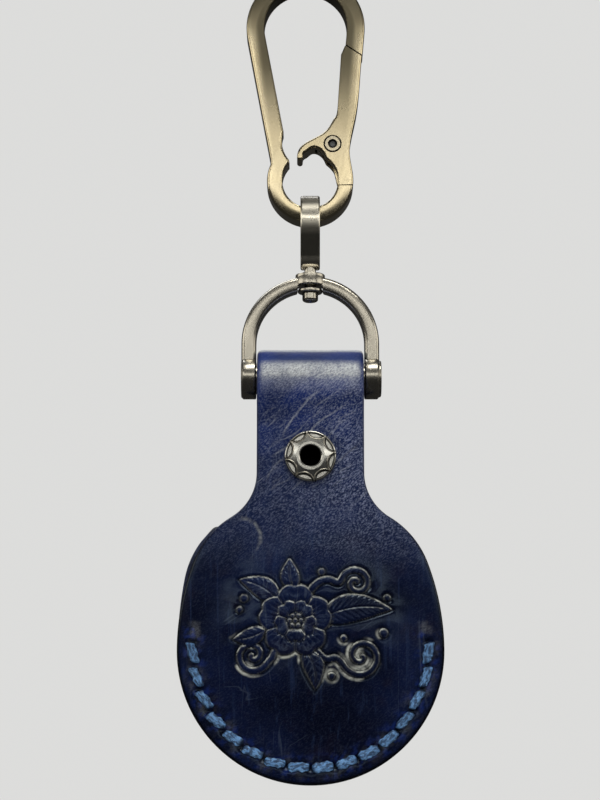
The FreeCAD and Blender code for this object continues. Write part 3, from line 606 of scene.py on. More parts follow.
def clip_material():
    """Warm nickel of the clip, whose faces fall away softly to the outline; painted shade on the inner
    halves of its upper bars and towards the crown.
    """
    n = metal_material("nickel_warm", *WARM_NICKEL)
    height = n.axes()["Z"]
    deep = n.depth(*CLIP_SPAN)
    # Painted shade on the inner halves of the upper bars, and towards the crown
    inner = n.times(n.ramp(deep, 0.9, 2.5), n.ramp(height, -0.031, -0.013, 0.0, 0.85))
    crown = n.ramp(height, -0.015, 0.0, 0.0, 0.92)
    seam_and_shade(n, n.math("MAXIMUM", inner, crown), CLIP_SHADE)
    seam_and_shade(n, n.band(n.radius(*RIVET), *RIVET_SEAT), SEAT_BLACK)
    fall = n.math("MAXIMUM", n.minus(1.0, n.math("DIVIDE", deep, CUSHION[0])), 0.0)
    n.relief = n.bump(n.times(fall, fall, -CUSHION[1]), 1.0, MM, Normal=n.relief)
    return finished(n)


def rivet_material():
    """Rivet in the clip's colour with a dark seam, and a dull dimple with painted shade and a lighter
    painted highlight at its middle.
    """
    n = metal_material("nickel_rivet", *RIVET_NICKEL)
    size = n.radius(*RIVET)
    for start, full, shade in RIVET_RINGS:
        seam_and_shade(n, n.ramp(size, start, full), shade)
    return finished(n)


def bow_material():
    """Grey nickel of the shackle, whose bar is softly crowned."""
    n = metal_material("nickel_bow", *GREY_NICKEL)
    share = n.minus(n.math("DIVIDE", n.depth(*BOW_SPAN), BOW_BAR / 2), 1.0)
    share = n.math("MINIMUM", n.times(share, share), 1.0)
    n.relief = n.bump(n.times(share, -BOW_CROWN), 1.0, MM, Normal=n.relief)
    return finished(n)


def eye_material():
    """Grey nickel of the swivel's eye, with painted shade under its arch and above its foot, and a painted
    highlight where it bows.
    """
    n = metal_material("nickel_eye", *GREY_NICKEL)
    height = n.times(n.axes()["Z"], 1000)
    low, high = EYE_SHINE
    # Painted highlight band where the eye bows, then painted shade under its arch and above its foot
    n.colour = n.mix(n.band(height, (low + high) / 2, EYE_BAND), n.colour, EYE_HIGHLIGHT)
    foot = n.times(n.ramp(height, low + 0.8, low - 1.2), n.ramp(height, low - 5.6, low - 4.8, 0.0, 0.88))
    arch = n.times(n.band(height, EYE_SHADE, 1.7), 0.9)
    seam_and_shade(n, n.math("MAXIMUM", arch, foot), EYE_SHADE_TONE)
    n.relief = n.bump(n.ramp(height, low, high, 0.57, 0.0), 1.0, MM, Normal=n.relief)
    return finished(n)


def snap_material():
    """Grey nickel of the snap, with painted shade as a black bore and as dark lines round the eyelet's
    petals.
    """
    n = metal_material("nickel_dark", *SNAP_NICKEL)
    back = n.axes()["Y"]
    spot = n.axes(n.flat(0, SNAP_Z))
    size = n.radius(0, SNAP_Z)
    angle = n.minus(n.math("ARCTAN2", spot["Z"], spot["X"]), math.radians(PETAL_TURN))
    share = n.minus(n.math("FRACT", n.math("DIVIDE", angle, 2 * petal_part)), 0.5)
    middle = PETAL_DIP + petal_radius
    cosine = n.math("COSINE", n.times(share, 2 * petal_part))
    square = n.minus(n.plus(n.times(size, size), middle ** 2), n.times(size, cosine, 2 * middle))
    gap = n.minus(petal_radius, n.math("SQRT", square))
    # Painted shade along the petals' creased edges
    rim = n.times(n.band(size, PETAL_RIM, PETAL_LINE), n.ramp(gap, 0.0, 0.15))
    line = n.math("MAXIMUM", n.band(gap, PETAL_LINE, PETAL_LINE), rim)
    seam_and_shade(n, n.times(line, n.ramp(back, -0.003, -0.004)), PETAL_LINE_SHADE)
    # Painted shade in the bore
    bore = n.times(n.ramp(size, 2.08, 1.95), n.ramp(back, 0.0012, 0.0009))
    seam_and_shade(n, bore, BORE_SHADE)
    return finished(n)


leather = leather_material()
flesh = flesh_material()
thread = thread_material()
grey_metal = finished(metal_material("nickel_grey", *GREY_NICKEL))
steel = finished(metal_material("spring_wire", *SPRING_STEEL))
for finish, names in (
    (clip_material(), ("carabiner_frame", "carabiner_gate")),
    (rivet_material(), ("gate_rivet",)),
    (eye_material(), ("swivel_eye",)),
    (bow_material(), ("shackle_bow",)),
    (grey_metal, ("swivel_washer", "shackle_screw")),
    (snap_material(), ("snap_eyelet", "snap_stud", "snap_socket", "snap_cap")),
    (steel, ("gate_spring", "snap_ring")),
):
    for name in names:
        mesh = nodes[name].data
        mesh.materials.clear()
        mesh.materials.append(finish)


# Tooled floral motif: heights in mm over the disc
GROOVE = 0.3
ROSE = (-3.2, 0.6)
# Vines: foot, lead point, middle, size and first angle of the curl, its turns and hand
VINES = (
    ((-1, -2), (3, -10), 8.8, -5.8, 3.5, 205, 1.4, 1),
    ((-5, -1), (-9, -9), -11.0, -5.6, 2.9, 330, 1.35, -1),
    ((-2, 4), (3, 12), 8.0, 7.6, 2.6, 165, 1.3, -1),
)
# Leaves: foot, angle, length, half width and bend
LEAVES = (
    (1.0, 0.9, 8, 13.6, 2.6, 1.2),
    (-6.0, 4.0, 150, 8.6, 2.0, -0.8),
    (-1.6, -4.2, 285, 8.0, 1.9, 0.8),
    (-3.4, 6.0, 98, 6.2, 1.7, 0.4),
    (-8.6, -1.0, 196, 6.2, 1.6, 0.5),
)
# Berries: middle and radius
BERRIES = ((12.9, -1.6, 0.8), (13.6, 4.9, 0.65), (-12.6, 4.8, 0.75), (-13.4, 2.7, 0.6), (3.4, -9.4, 0.7),
           (1.6, 9.6, 0.65), (5.6, -2.6, 0.6))
ROSE_PETALS = 5
# Rings of petals: size, turn in petals and lift
ROSE_RINGS = ((6.9, 0.0, 0.36), (4.1, 0.5, 0.44))
ROSE_HEART = 1.6
ROSE_SEEDS = 6
SEED_RING = 0.98
SEED_R = 0.42
SLOPE_STEP = 0.12


def turned(points, x, z, angle):
    """Points seen from a place, along axes turned by an angle in degrees."""
    c, s = math.cos(math.radians(angle)), math.sin(math.radians(angle))
    return (points - [x, z]) @ np.array([[c, -s], [s, c]])


def leaf_gap(p, x, z, angle, length, width, bend):
    """Distance to a pointed, bent leaf, negative inside, with its along and across places."""
    q = turned(p, x, z, angle)
    t = q[:, 0] / length
    side = q[:, 1] - bend * 4 * t * (1 - t)
    gap = np.abs(side) - width * np.sin(math.pi * np.clip(t, 0, 1) ** 0.8) ** 0.85
    over = np.maximum(-t, t - 1) * length
    return np.where(over > 0, np.hypot(np.maximum(over, 0), side), gap), t, side


def path_gap(p, path, wide):
    """Distance to a tapering band along a path, negative inside."""
    best = np.full(len(p), 1e9)
    for i, (a, b) in enumerate(zip(path, path[1:])):
        run = b - a
        t = np.clip(((p - a) @ run) / (run @ run), 0, 1)
        w = wide[i] * (1 - t) + wide[i + 1] * t
        best = np.minimum(best, np.sqrt(((p - a - t[:, None] * run) ** 2).sum(1)) - w)
    return best


def vine(start, lead, x, z, size, angle, turns, hand):
    """Stem from a start point into a spiral that winds in on itself."""
    t = np.linspace(0, 1, 70)
    a = math.radians(angle) + hand * 2 * math.pi * turns * t
    r = size * (1 - t) ** 0.8 + 0.2
    curl = np.stack([x + r * np.cos(a), z + r * np.sin(a)], 1)
    u = np.linspace(0, 1, 24)[:-1, None]
    ends = (np.array(start), np.array(lead), curl[0] - (curl[1] - curl[0]) * 9, curl[0])
    stem = sum(k * (1 - u) ** (3 - i) * u ** i * e for i, (k, e) in enumerate(zip((1, 3, 3, 1), ends)))
    return np.concatenate([stem, curl])


def tooled(points):
    """Heights of the floral relief at points of the disc, and distances from its outline."""
    p = points - MOTIF
    height = np.zeros(len(p))
    cover = np.full(len(p), FAR)

    def press(gap, lift, soft, extra=0.0):
        nonlocal height, cover
        t = np.clip(-gap / soft, 0, 1)
        puff = (lift + GROOVE) * np.sqrt(np.maximum(0, 1 - (1 - t) ** 2)) - GROOVE
        ditch = height - GROOVE * bell(np.maximum(gap, 0), 0.45)
        height = np.where(gap < 0, puff + extra * smooth(0, 0.5, t), np.maximum(ditch, -2 * GROOVE))
        cover = np.minimum(cover, gap)

    for stem in VINES:
        path = vine(*stem)
        press(path_gap(p, path, np.linspace(0.62, 0.4, len(path))), 0.2, 0.5)
    for leaf in LEAVES:
        gap, t, side = leaf_gap(p, *leaf)
        rib = bell(side, 0.2) * smooth(0.0, 0.1, t) * smooth(1.0, 0.85, t)
        comb = (t * leaf[3] - np.abs(side) * 1.1) / 1.25 % 1.0
        vein = bell(comb - 0.5, 0.17) * smooth(0.2, 0.45, np.abs(side))
        press(gap, 0.28, 0.9, -0.24 * rib - 0.12 * vein)
    rho = away(p, *ROSE)
    turn = np.arctan2(*(p - ROSE).T[::-1]) - math.pi / 2
    wedge = 2 * math.pi / ROSE_PETALS
    for size, shift, lift in ROSE_RINGS:
        local = (turn / wedge + shift + 0.5) % 1.0 - 0.5
        a = local * wedge
        reach = size * np.cos(a * 1.5) ** 0.45 - 0.55 * bell(a, 0.13)
        gap = -np.minimum(reach - rho, rho * np.sin(wedge / 2 - np.abs(a)) + 0.02)
        gap = np.where(rho > reach, rho - reach, gap)
        ray = bell((local * 7.0) % 1.0 - 0.5, 0.16) * smooth(size * 0.95, size * 0.55, rho)
        cup = 0.2 * bell(rho - size * 0.72, size * 0.16) * bell(a, 0.34)
        press(gap, lift, 0.75, -0.1 * ray - cup)
    press(rho - ROSE_HEART, 0.4, 0.8)
    for k in range(ROSE_SEEDS + 1):
        a = 2 * math.pi * k / ROSE_SEEDS
        out = 0 if k == ROSE_SEEDS else SEED_RING
        press(away(p, ROSE[0] + out * math.cos(a), ROSE[1] + out * math.sin(a)) - SEED_R, 0.5, 0.4)
    for x, z, r in BERRIES:
        press(away(p, x, z) - r, 0.26, 0.6)
    return height - 0.1 * smooth(3.0, 0.5, cover) * (cover > 0), cover


def worn(points):
    """Relief with wax in its lower hollows, and painted highlights along its upward-facing edges and,
    fainter, on its side slopes.
    """
    height, cover = tooled(points)
    steps = np.eye(2) * SLOPE_STEP
    lean, fall = ((tooled(points - d)[0] - tooled(points + d)[0]) / (2 * SLOPE_STEP) for d in steps)
    x, z = (points - MOTIF).T
    patch = smooth(0.25, 0.8, wave_noise(x, z, 9.0, 5, 2) + 0.25 * smooth(-2, -7, z))
    wax = smooth(0.1, 0.3, cover) * smooth(0.85, 0.4, cover) * patch * smooth(1.0, -5.0, z)
    # Painted highlight where the relief's edges face up, fainter where they slope sideways
    edge_highlight = 0.95 * smooth(0.45, 1.1, fall) + 0.18 * smooth(0.4, 1.2, np.abs(lean))
    edge_highlight = edge_highlight * (0.65 + 0.35 * np.clip(wave_noise(x, z, 3.0, 6), -1, 1))
    return height, np.maximum(wax, edge_highlight * (cover < 0.3))


def dome_height(r, flat, radius, height):
    """Two equal arcs from a flat middle down to the rim."""
    run = radius - flat
    curve = (run ** 2 + height ** 2) / (4 * height)
    mid = flat + run / 2
    crest = height - curve + np.sqrt(np.maximum(0, curve ** 2 - (r - flat) ** 2))
    foot = curve - np.sqrt(np.maximum(0, curve ** 2 - (radius - r) ** 2))
    return np.where(r < flat, height, np.where(r < mid, crest, np.where(r < radius, foot, 0.0)))


stitch_sweep = (180 + 2 * STITCH_LIFT) / STITCHES
stitch_turn = np.radians(180 - STITCH_LIFT + stitch_sweep * np.arange(STITCHES + 1))
stitch_holes = np.stack([STITCH_R * np.cos(stitch_turn), POCKET_Z + STITCH_R * np.sin(stitch_turn)], 1)


def stitch_dents(points):
    """Dimples at the holes and a shallow bed under the thread, and the share of painted shade round each
    hole.
    """
    r = away(points, 0, POCKET_Z)
    on_arc = (points[:, 1] < POCKET_Z + 2.2) & (np.abs(r - STITCH_R) < 3)
    near = np.full(len(points), FAR)
    near[on_arc] = gap_to(points[on_arc], stitch_holes)
    bed = 0.2 * bell(r - STITCH_R, 0.75) * on_arc
    bed = bed * smooth(POCKET_Z + 2.4, POCKET_Z + 0.5, points[:, 1])
    return 0.75 * bell(near, 0.55) + bed, bell(near, 0.75)


# Rounded edges: distance in from the edge, and height over the middle of the leather
OUTER_RIM = ((0.04, 0.42), (0.14, 0.74), (0.34, 0.98), (0.65, 1.12), (1.05, 1.185), (1.5, 1.2))
INNER_RIM = ((0.06, -0.85), (0.25, -1.1), (0.7, -1.19), (1.3, -1.2))

EDGE = -0.1
BEAD = 0.13
BEAD_OUT = (2.65, 3.7, 4.8)
BEAD_RISE = (1.25, 0.95, 0.65)
BEAD_STEPS = 18
BEAD_AROUND = 8
MOTIF_STEP = 0.17
STRAP_STEP = 0.2
FACE_STEP = 0.5
FRONT_INNER_STEP = 1.1
BACK_INNER_STEP = 1.0

# Long scratches: start across and below the pin, length, angle, bend and strength
SCRATCHES = (
    (-5.4, 12.4, 14.0, 47, 1.5, 1.0),
    (-1.6, 12.6, 12.0, 38, 0.8, 0.75),
    (-7.6, 15.6, 9.0, 36, -0.4, 0.55),
    (-3.2, 8.2, 9.5, 40, 0.7, 0.6),
    (1.2, 14.2, 9.5, 44, 0.5, 0.55),
    (3.4, 17.4, 8.0, 40, -0.4, 0.5),
    (0.4, 7.0, 8.5, 33, 0.5, 0.5),
    (-8.6, 20.5, 8.0, 50, 0.5, 0.4),
    (4.4, 9.4, 5.5, 30, 0.3, 0.6),
)
FAINT_SCRATCHES = 26
FAINT_RANGES = ((-9, 6), (5, 22), (2.5, 6), (30, 52), (-0.3, 0.4), (0.15, 0.4))


def rim_height(depth, rim):
    return np.interp(depth, *zip((0.0, EDGE), *rim))


def strap_mid(z):
    """Middle of the strap's leather: a soft belly under the pin, then flat down to the snap."""
    fall = PIN_Z - z
    belly = 0.3 * np.sin(math.pi * np.clip(fall / 7.0, 0, 1)) ** 2
    return FOLD - (FOLD - LAYER) * smooth(1.5, BEND, fall) + belly


def wrap(points, height):
    """Flat cut of the front leather, bent over the pin, to 3-D points in mm."""
    x, v = points[:, 0], points[:, 1]
    r = np.hypot(x, v - POCKET_Z - 1.5)
    front = np.stack([x, -(strap_mid(v) + dome_height(r, *FRONT_DOME) + height), v], 1)
    a = (v - PIN_Z) / FOLD
    bent = np.stack([x, -(FOLD + height) * np.cos(a), PIN_Z + (FOLD + height) * np.sin(a)], 1)
    z = PIN_Z - (v - fold_top)
    behind = np.stack([x, strap_mid(z) + height, z], 1)
    return np.where((v <= PIN_Z)[:, None], front, np.where((v < fold_top)[:, None], bent, behind))


def scratched(points):
    """Long bent scratches that run up across the strap."""
    mark = np.zeros(len(points))
    rng = np.random.default_rng(17)
    faint = [[rng.uniform(*limits) for limits in FAINT_RANGES] for _ in range(FAINT_SCRATCHES)]
    for x, fall, length, angle, bend, strength in (*SCRATCHES, *faint):
        q = turned(points, x, PIN_Z - fall, angle)
        t = q[:, 0] / length
        ends = smooth(0.0, 0.2, t) * smooth(1.0, 0.7, t)
        side = q[:, 1] - bend * 4 * t * (1 - t) - 0.12 * np.sin(9 * t + x)
        mark = np.maximum(mark, strength * ends * bell(side, 0.13))
    return mark


def front_waves(x, v):
    """Slow waves of the hide and small creases across the fold."""
    wavy = 0.03 * wave_noise(x, v, 18.0, 3, 2) + 0.006 * wave_noise(x, v, 3.0, 4)
    bent = smooth(PIN_Z - 9, PIN_Z - 2, v) * smooth(fold_top + 6, fold_top, v)
    return wavy + 0.015 * wave_noise(x * 0.25, v, 1.6, 8) * bent


def front_blue(x, v, seam):
    """Share of brighter dye: up the strap, and in dabs along the seam."""
    blue = 0.75 * smooth(PIN_Z - 22, PIN_Z + 1, v) + 0.25 * smooth(POCKET_Z + 7, POCKET_Z + 29, v)
    blue = blue * (0.75 + 0.25 * np.clip(wave_noise(x, v, 11.0, 9), -1, 1))
    dab = bell(seam, 1.7) * (v < POCKET_Z + 4) * smooth(0.1, 0.7, wave_noise(x, v, 2.4, 43))
    return np.clip(np.maximum(blue, dab), 0, 1)


def front_sheen_and_smears(x, v, depth, seam):
    """Painted sheen as a broad pale band on the fold, a painted highlight as a thin line on its crest, and
    pale wax smears along the seam.
    """
    rise = v - PIN_Z
    band = 0.9 * smooth(-1.5, 0.6, rise) + 0.3 * smooth(-4.5, -0.6, rise)
    band = np.clip(band, 0, 1) * smooth(2.4, 1.0, rise) * smooth(0.2, 1.4, depth)
    band = band * np.clip(0.9 + 0.2 * wave_noise(x, v, 6.0, 31), 0, 1)
    crest = 0.95 * smooth(4.1, 4.8, rise) * smooth(6.9, 6.1, rise)
    smear = bell(seam, 1.6) * (v < POCKET_Z + 5) * np.clip(wave_noise(x, v, 5.0, 41), 0, 1)
    return np.maximum.reduce([band, crest, 0.1 * smear])


def front_details(points, depth):
    """Height and tone (edge with painted shade at the stitch holes, blue, wax with painted highlights on
    the relief, painted sheen and highlight with pale wax) of the front leather's face.
    """
    x, v = points.T
    on_front = v <= PIN_Z + 0.01
    relief, wax = np.zeros(len(x)), np.zeros(len(x))
    box = (np.abs(x - MOTIF[0]) < 18) & (np.abs(v - MOTIF[1]) < 15)
    # Relief heights, and its wax with painted highlights
    relief[box], wax[box] = worn(points[box])
    dent, dark = stitch_dents(points)
    nx, nz = x - NICK[0], v - NICK[1]
    nick = 0.3 * bell(np.hypot(nx, nz) - NICK_R, 0.2) * smooth(0.1, 0.9, nx / NICK_R + nz / 6)
    seat = smooth(6.4, 4.9, away(points, 0, SNAP_Z)) * on_front
    seat = 0.22 * (seat + smooth(7.8, 6.3, away(points, 0, flap_snap)))
    line = scratched(points)
    height = rim_height(depth, OUTER_RIM) + (relief - dent - nick) * on_front - seat
    height = height + front_waves(x, v) * smooth(0, 1.5, depth) - 0.05 * line
    rim = smooth(0.9, 0.1, depth) * (1 - 0.75 * smooth(POCKET_Z + 14, POCKET_Z + 26, v))
    ditch = 0.75 * smooth(0.1, -0.45, relief)
    # Burnished edge, dye pooled in the ditches, and painted shade round the stitch holes
    edge = np.maximum(rim, np.maximum(0.85 * dark, ditch) * on_front)
    seam = away(points, 0, POCKET_Z) - STITCH_R
    # Painted sheen and highlight on the fold, with pale wax smears and scratches
    sheen_and_wax = np.maximum(front_sheen_and_smears(x, v, depth, seam), 0.5 * line)
    return height, np.stack([edge, front_blue(x, v, seam), np.maximum(wax, nick * on_front), sheen_and_wax], 1)


def paint(obj, tone, name="tone"):
    layer = obj.data.color_attributes.new(name, "FLOAT_COLOR", "POINT")
    layer.data.foreach_set("color", np.asarray(tone, np.float32).ravel())


def vertex_normals(verts, tris):
    a, b, c = verts[tris.T]
    face = np.cross(b - a, c - a)
    out = np.zeros_like(verts)
    for corner in tris.T:
        np.add.at(out, corner, face)
    return out / np.maximum(np.linalg.norm(out, axis=1), 1e-12)[:, None]


def closed_skin(outer, inner):
    """One skin of two sheets that meet along their loop, with a mark on the inner triangles."""
    (v0, t0, c0), (v1, t1, c1) = outer, inner
    verts = np.concatenate([v0, v1])
    keys = np.round(verts * WELDS_PER_MM).astype(np.int64)
    _, first, back = np.unique(keys, axis=0, return_index=True, return_inverse=True)
    tris = back.ravel()[np.concatenate([t0, t1[:, ::-1] + len(v0)])]
    keep = (tris != np.roll(tris, 1, 1)).all(1)
    is_inner = np.repeat((False, True), (len(t0), len(t1)))
    return verts[first], tris[keep], np.concatenate([c0, c1])[first], is_inner[keep]


def leather_objects(outer, inner, groups):
    """Splits the skin of two sheets into pieces that share their normals along the cuts."""
    verts, tris, tone, is_inner = closed_skin(outer, inner)
    normals = vertex_normals(verts, tris)
    made = []
    for name, pick in groups:
        mine = pick(verts[tris].mean(1))
        used, back = np.unique(tris[mine], return_inverse=True)
        obj = mesh_object(name, verts[used], back.reshape(-1, 3), leather)
        obj.data.materials.append(flesh)
        obj.data.polygons.foreach_set("material_index", is_inner[mine].astype(np.int32))
        paint(obj, tone[used])
        obj.data.normals_split_custom_set_from_vertices(normals[used].tolist())
        made.append(obj)
    return made


def orient(points, tris):
    """Triangles wound so that they turn the same way in the flat cut."""
    a, b, c = points[tris.T]
    area = (b[:, 0] - a[:, 0]) * (c[:, 1] - a[:, 1]) - (b[:, 1] - a[:, 1]) * (c[:, 0] - a[:, 0])
    return np.where((area < 0)[:, None], tris[:, ::-1], tris)


def dark_edge(depth):
    """Tone of an inner sheet, burnished along its edge."""
    tone = np.zeros((len(depth), 4))
    tone[:, 0] = smooth(0.6, 0.0, depth)
    return tone


def make_front():
    """Front cut, bent over the pin, as front, fold and flap."""
    loop = front_loop()
    cuts = (PIN_Z, fold_top)
    bores = ((0.0, SNAP_Z, EYELET_BORE), (0.0, flap_snap, SOCKET_BORE))
    wide = (-25, 25, POCKET_Z - 25, flap_tip + 1)
    motif_box = (MOTIF[0] - 16.5, MOTIF[0] + 16.5, MOTIF[1] - 13.0, MOTIF[1] + 13.0)
    strap_box = (-HALF_STRAP, HALF_STRAP, PIN_Z - 22.0, PIN_Z - 0.4)
    grids = ((motif_box, MOTIF_STEP), (strap_box, STRAP_STEP), (wide, FACE_STEP))
    pts, tris, depth = triangulate(loop, OUTER_RIM, grids, cuts, bores)
    height, tone = front_details(pts, depth)
    outer = (wrap(pts, height), orient(pts, tris), tone)
    pts, tris, depth = triangulate(loop, INNER_RIM, ((wide, FRONT_INNER_STEP),), cuts, bores)
    inner = (wrap(pts, rim_height(depth, INNER_RIM)), orient(pts, tris), dark_edge(depth))
    groups = (
        ("leather_front", lambda m: (m[:, 2] < PIN_Z) & (m[:, 1] < 0)),
        ("leather_fold", lambda m: m[:, 2] >= PIN_Z),
        ("leather_flap", lambda m: (m[:, 2] < PIN_Z) & (m[:, 1] >= 0)),
    )
    return leather_objects(outer, inner, groups)


def make_back():
    """Moulded pocket: the flat cut is drawn in along an S-shaped wall."""
    flat, radius, height = BACK_DOME
    run = radius - flat
    curve = (run ** 2 + height ** 2) / (4 * height)
    turn = 2 * math.atan(height / run)
    wall = 2 * curve * turn
    extra = wall - run

    def profile(s):
        """Reach, rise and slope along the wall for a distance s from the middle."""
        a = np.clip((s - flat) / curve, 0, turn)
        b = np.clip((s - flat) / curve - turn, 0, turn)
        out = np.maximum(s - flat - wall, 0)
        reach = np.minimum(s, flat) + curve * np.sin(a) + curve * (math.sin(turn) - np.sin(turn - b)) + out
        rise = height - curve * (1 - np.cos(a)) - curve * (np.cos(turn - b) - math.cos(turn))
        return reach, rise, a - b

    table = np.linspace(0, radius + 20 + extra, 2000)
    reached = profile(table)[0]

    def from_middle(p):
        """Height over the pocket's middle, and distance across the wall."""
        z = p[:, 1] - POCKET_Z
        return z, np.where(z < 0, np.hypot(p[:, 0], z), np.abs(p[:, 0]))

    def scaled(p, z, share):
        return p[:, 0] * share, np.where(z < 0, POCKET_Z + z * share, p[:, 1])

    def spread(p):
        """Real outline to the flat cut, which is larger by the wall's extra length."""
        z, r = from_middle(p)
        return np.stack(scaled(p, z, np.interp(r, reached, table) / np.maximum(r, 1e-9)), 1)

    def drape(p, h):
        """Flat cut to the moulded form, h over the middle of the leather."""
        z, s = from_middle(p)
        reach, rise, slope = profile(s)
        reach = reach + h * np.sin(slope)
        y = SEAM_Y + half + rise + h * np.cos(slope)
        x, up = scaled(p, z, reach / np.maximum(s, 1e-9))
        return np.stack([x, y, up], 1)

    loop = spread(back_loop())
    wide = (-30, 30, POCKET_Z - 30, MOUTH_Z + 2)
    pts, tris, depth = triangulate(loop, OUTER_RIM, ((wide, FACE_STEP),))
    x, v = pts.T
    dent, dark = stitch_dents(drape(pts, np.zeros(len(pts)))[:, (0, 2)])
    wavy = 0.05 * wave_noise(x, v, 16.0, 21, 2) + 0.008 * wave_noise(x, v, 3.0, 22)
    h = rim_height(depth, OUTER_RIM) - dent + wavy * smooth(0, 1.5, depth)
    # Burnished edge and painted shade round the stitch holes
    edge = np.maximum(smooth(0.9, 0.1, depth), 0.85 * dark)
    blue = 0.22 * (0.6 + 0.4 * np.clip(wave_noise(x, v, 12.0, 23), -1, 1))
    outer = (drape(pts, h), orient(pts, tris)[:, ::-1], np.stack([edge, blue, 0 * blue, 0 * blue], 1))
    pts, tris, depth = triangulate(loop, INNER_RIM, ((wide, BACK_INNER_STEP),))
    inner = (drape(pts, rim_height(depth, INNER_RIM)), orient(pts, tris)[:, ::-1], dark_edge(depth))
    everything = (("leather_back", lambda m: np.ones(len(m), bool)),)
    return leather_objects(outer, inner, everything)[0]


def tube_faces(base, rings, around, inside_out=False):
    """Quads and end caps of a tube whose rings of points start at base."""
    faces = []
    last = base + (rings - 1) * around
    for r in range(base, last, around):
        for i in range(around):
            j = (i + 1) % around
            faces.append((r + i, r + around + i, r + around + j, r + j))
    faces.append(tuple(range(base, base + around)))
    faces.append(tuple(range(last, last + around))[::-1])
    return [(f[0], *f[:0:-1]) for f in faces] if inside_out else faces


def make_stitches():
    """Flat waxed stitches on both faces, each a three-ply strand that dives into its holes."""
    a = np.linspace(0, 2 * math.pi, STITCH_AROUND, endpoint=False)
    verts, faces, tone, strand = [], [], [], []
    rng = np.random.default_rng(11)
    for side in (-1, 1):
        face = -(LAYER + half) if side < 0 else SEAM_Y + LEATHER
        for k in range(STITCHES):
            mid = (stitch_holes[k] + stitch_holes[k + 1]) / 2
            chord = stitch_holes[k + 1] - stitch_holes[k]
            length = np.linalg.norm(chord)
            share = k / (STITCHES - 1)
            lean = STITCH_SLANT[0] * (1 - share) + STITCH_SLANT[1] * share
            run = turned(chord / length, 0, 0, side * (lean + rng.uniform(-4, 4)))
            across = np.array([-run[1], run[0]])
            shear = -side * STITCH_SHEAR * (1 - 2 * share)
            reach = length / 2 - 0.12
            fat, phase, sag, smear, dull = (rng.uniform(*limits) for limits in STITCH_RANGES)
            faces += tube_faces(len(verts), STITCH_RINGS, STITCH_AROUND, side < 0)
            for s in np.linspace(-1, 1, STITCH_RINGS):
                dive = smooth(0.74, 1.0, abs(s))
                fray = 1 + 0.08 * math.sin(7 * s + 2 * phase) + 0.06 * math.sin(13 * s + 5 * phase)
                width = STITCH_WIDTH * fat * fray * (1 - 0.18 * abs(s) ** 2 - 0.25 * dive)
                tall = STITCH_TALL * fat * (1 - 0.25 * dive)
                lift = STITCH_RISE - STITCH_SINK * dive ** 1.5 + 0.06 * math.cos(3 * s + phase)
                ply = 1 + 0.075 * np.cos(3 * (a - s * 2.3) + phase)
                u = width * np.cos(a) * ply + sag * (1 - s * s)
                y = face + side * (lift + tall * np.sin(a) * ply)
                # Painted shade where the strand dives into its hole, and dye smeared towards one end
                dye_and_shade = max(0.9 * dive - 0.1, 0.7 * smear * smooth(0.25, 0.95, s))
                for i in range(STITCH_AROUND):
                    x, z = mid + run * (reach * s + shear * u[i] * s * s) + across * u[i]
                    verts.append((x, y[i], z))
                    # Painted shade along the strand's sides
                    tone.append((max(dye_and_shade, 0.75 * abs(math.cos(a[i])) ** 5), dull, 0, 0))
                    strand.append((s, math.cos(a[i]), k + 40 * side, 0))
    obj = mesh_object("seam_stitches", verts, faces, thread)
    paint(obj, np.clip(np.array(tone), 0, 1))
    paint(obj, strand, "strand")
    return obj


def make_star():
    """Bright worn bead along the edge of the eyelet's star."""
    swing = math.asin(petal_chord / petal_radius)
    verts, faces = [], []
    for k in range(PETALS):
        axis = math.radians(PETAL_TURN) + (2 * k + 1) * petal_part
        c, s = math.cos(axis), math.sin(axis)
        faces += tube_faces(len(verts), BEAD_STEPS, BEAD_AROUND)
        for f in np.linspace(-swing, swing, BEAD_STEPS):
            u = PETAL_DIP + petal_radius * (1 - math.cos(f))
            w = petal_radius * math.sin(f)
            y = -LAYER - half - np.interp(math.hypot(u, w), BEAD_OUT, BEAD_RISE)
            for a in np.linspace(0, 2 * math.pi, BEAD_AROUND, endpoint=False):
                x = u + BEAD * math.cos(a)
                verts.append((x * c - w * s, y - BEAD * 0.7 * math.sin(a), SNAP_Z + x * s + w * c))
    return mesh_object("eyelet_bead", verts, faces, grey_metal)


def make_spring():
    """Small coil spring between the clip's ledge and the gate, which presses it as it opens."""
    x, low, high = SPRING
    rings = SPRING_STEPS * SPRING_TURNS + 1
    pitch = (high - low) / (2 * math.pi * SPRING_TURNS)
    verts = []
    for t in np.linspace(0, 2 * math.pi * SPRING_TURNS, rings):
        out = np.array([math.cos(t), math.sin(t), 0])
        along = np.array([-SPRING_RADIUS * math.sin(t), SPRING_RADIUS * math.cos(t), pitch])
        up = np.cross(out, along / np.linalg.norm(along))
        spot = np.array([x, 0, low + pitch * t]) + SPRING_RADIUS * out
        for a in np.linspace(0, 2 * math.pi, SPRING_AROUND, endpoint=False):
            verts.append(spot + SPRING_WIRE * (math.cos(a) * out + math.sin(a) * up))
    return mesh_object("gate_coil", verts, tube_faces(0, rings, SPRING_AROUND), steel)


front, fold, flap = make_front()
star = make_star()
coil = make_spring()
back = make_back()
stitches = make_stitches()
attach(front, "holder")
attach(back, "holder")
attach(stitches, "holder")
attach(star, "holder")
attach(flap, "flap")
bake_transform(fold)
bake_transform(coil)
for piece, node, slot in ((front, "front_panel", "leather"), (back, "back_panel", "leather"),
                          (flap, "strap_flap", "leather"), (fold, "strap_fold", "leather"),
                          (stitches, "seam_thread", "thread"), (coil, "gate_spring", "spring_steel")):
    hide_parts(node)


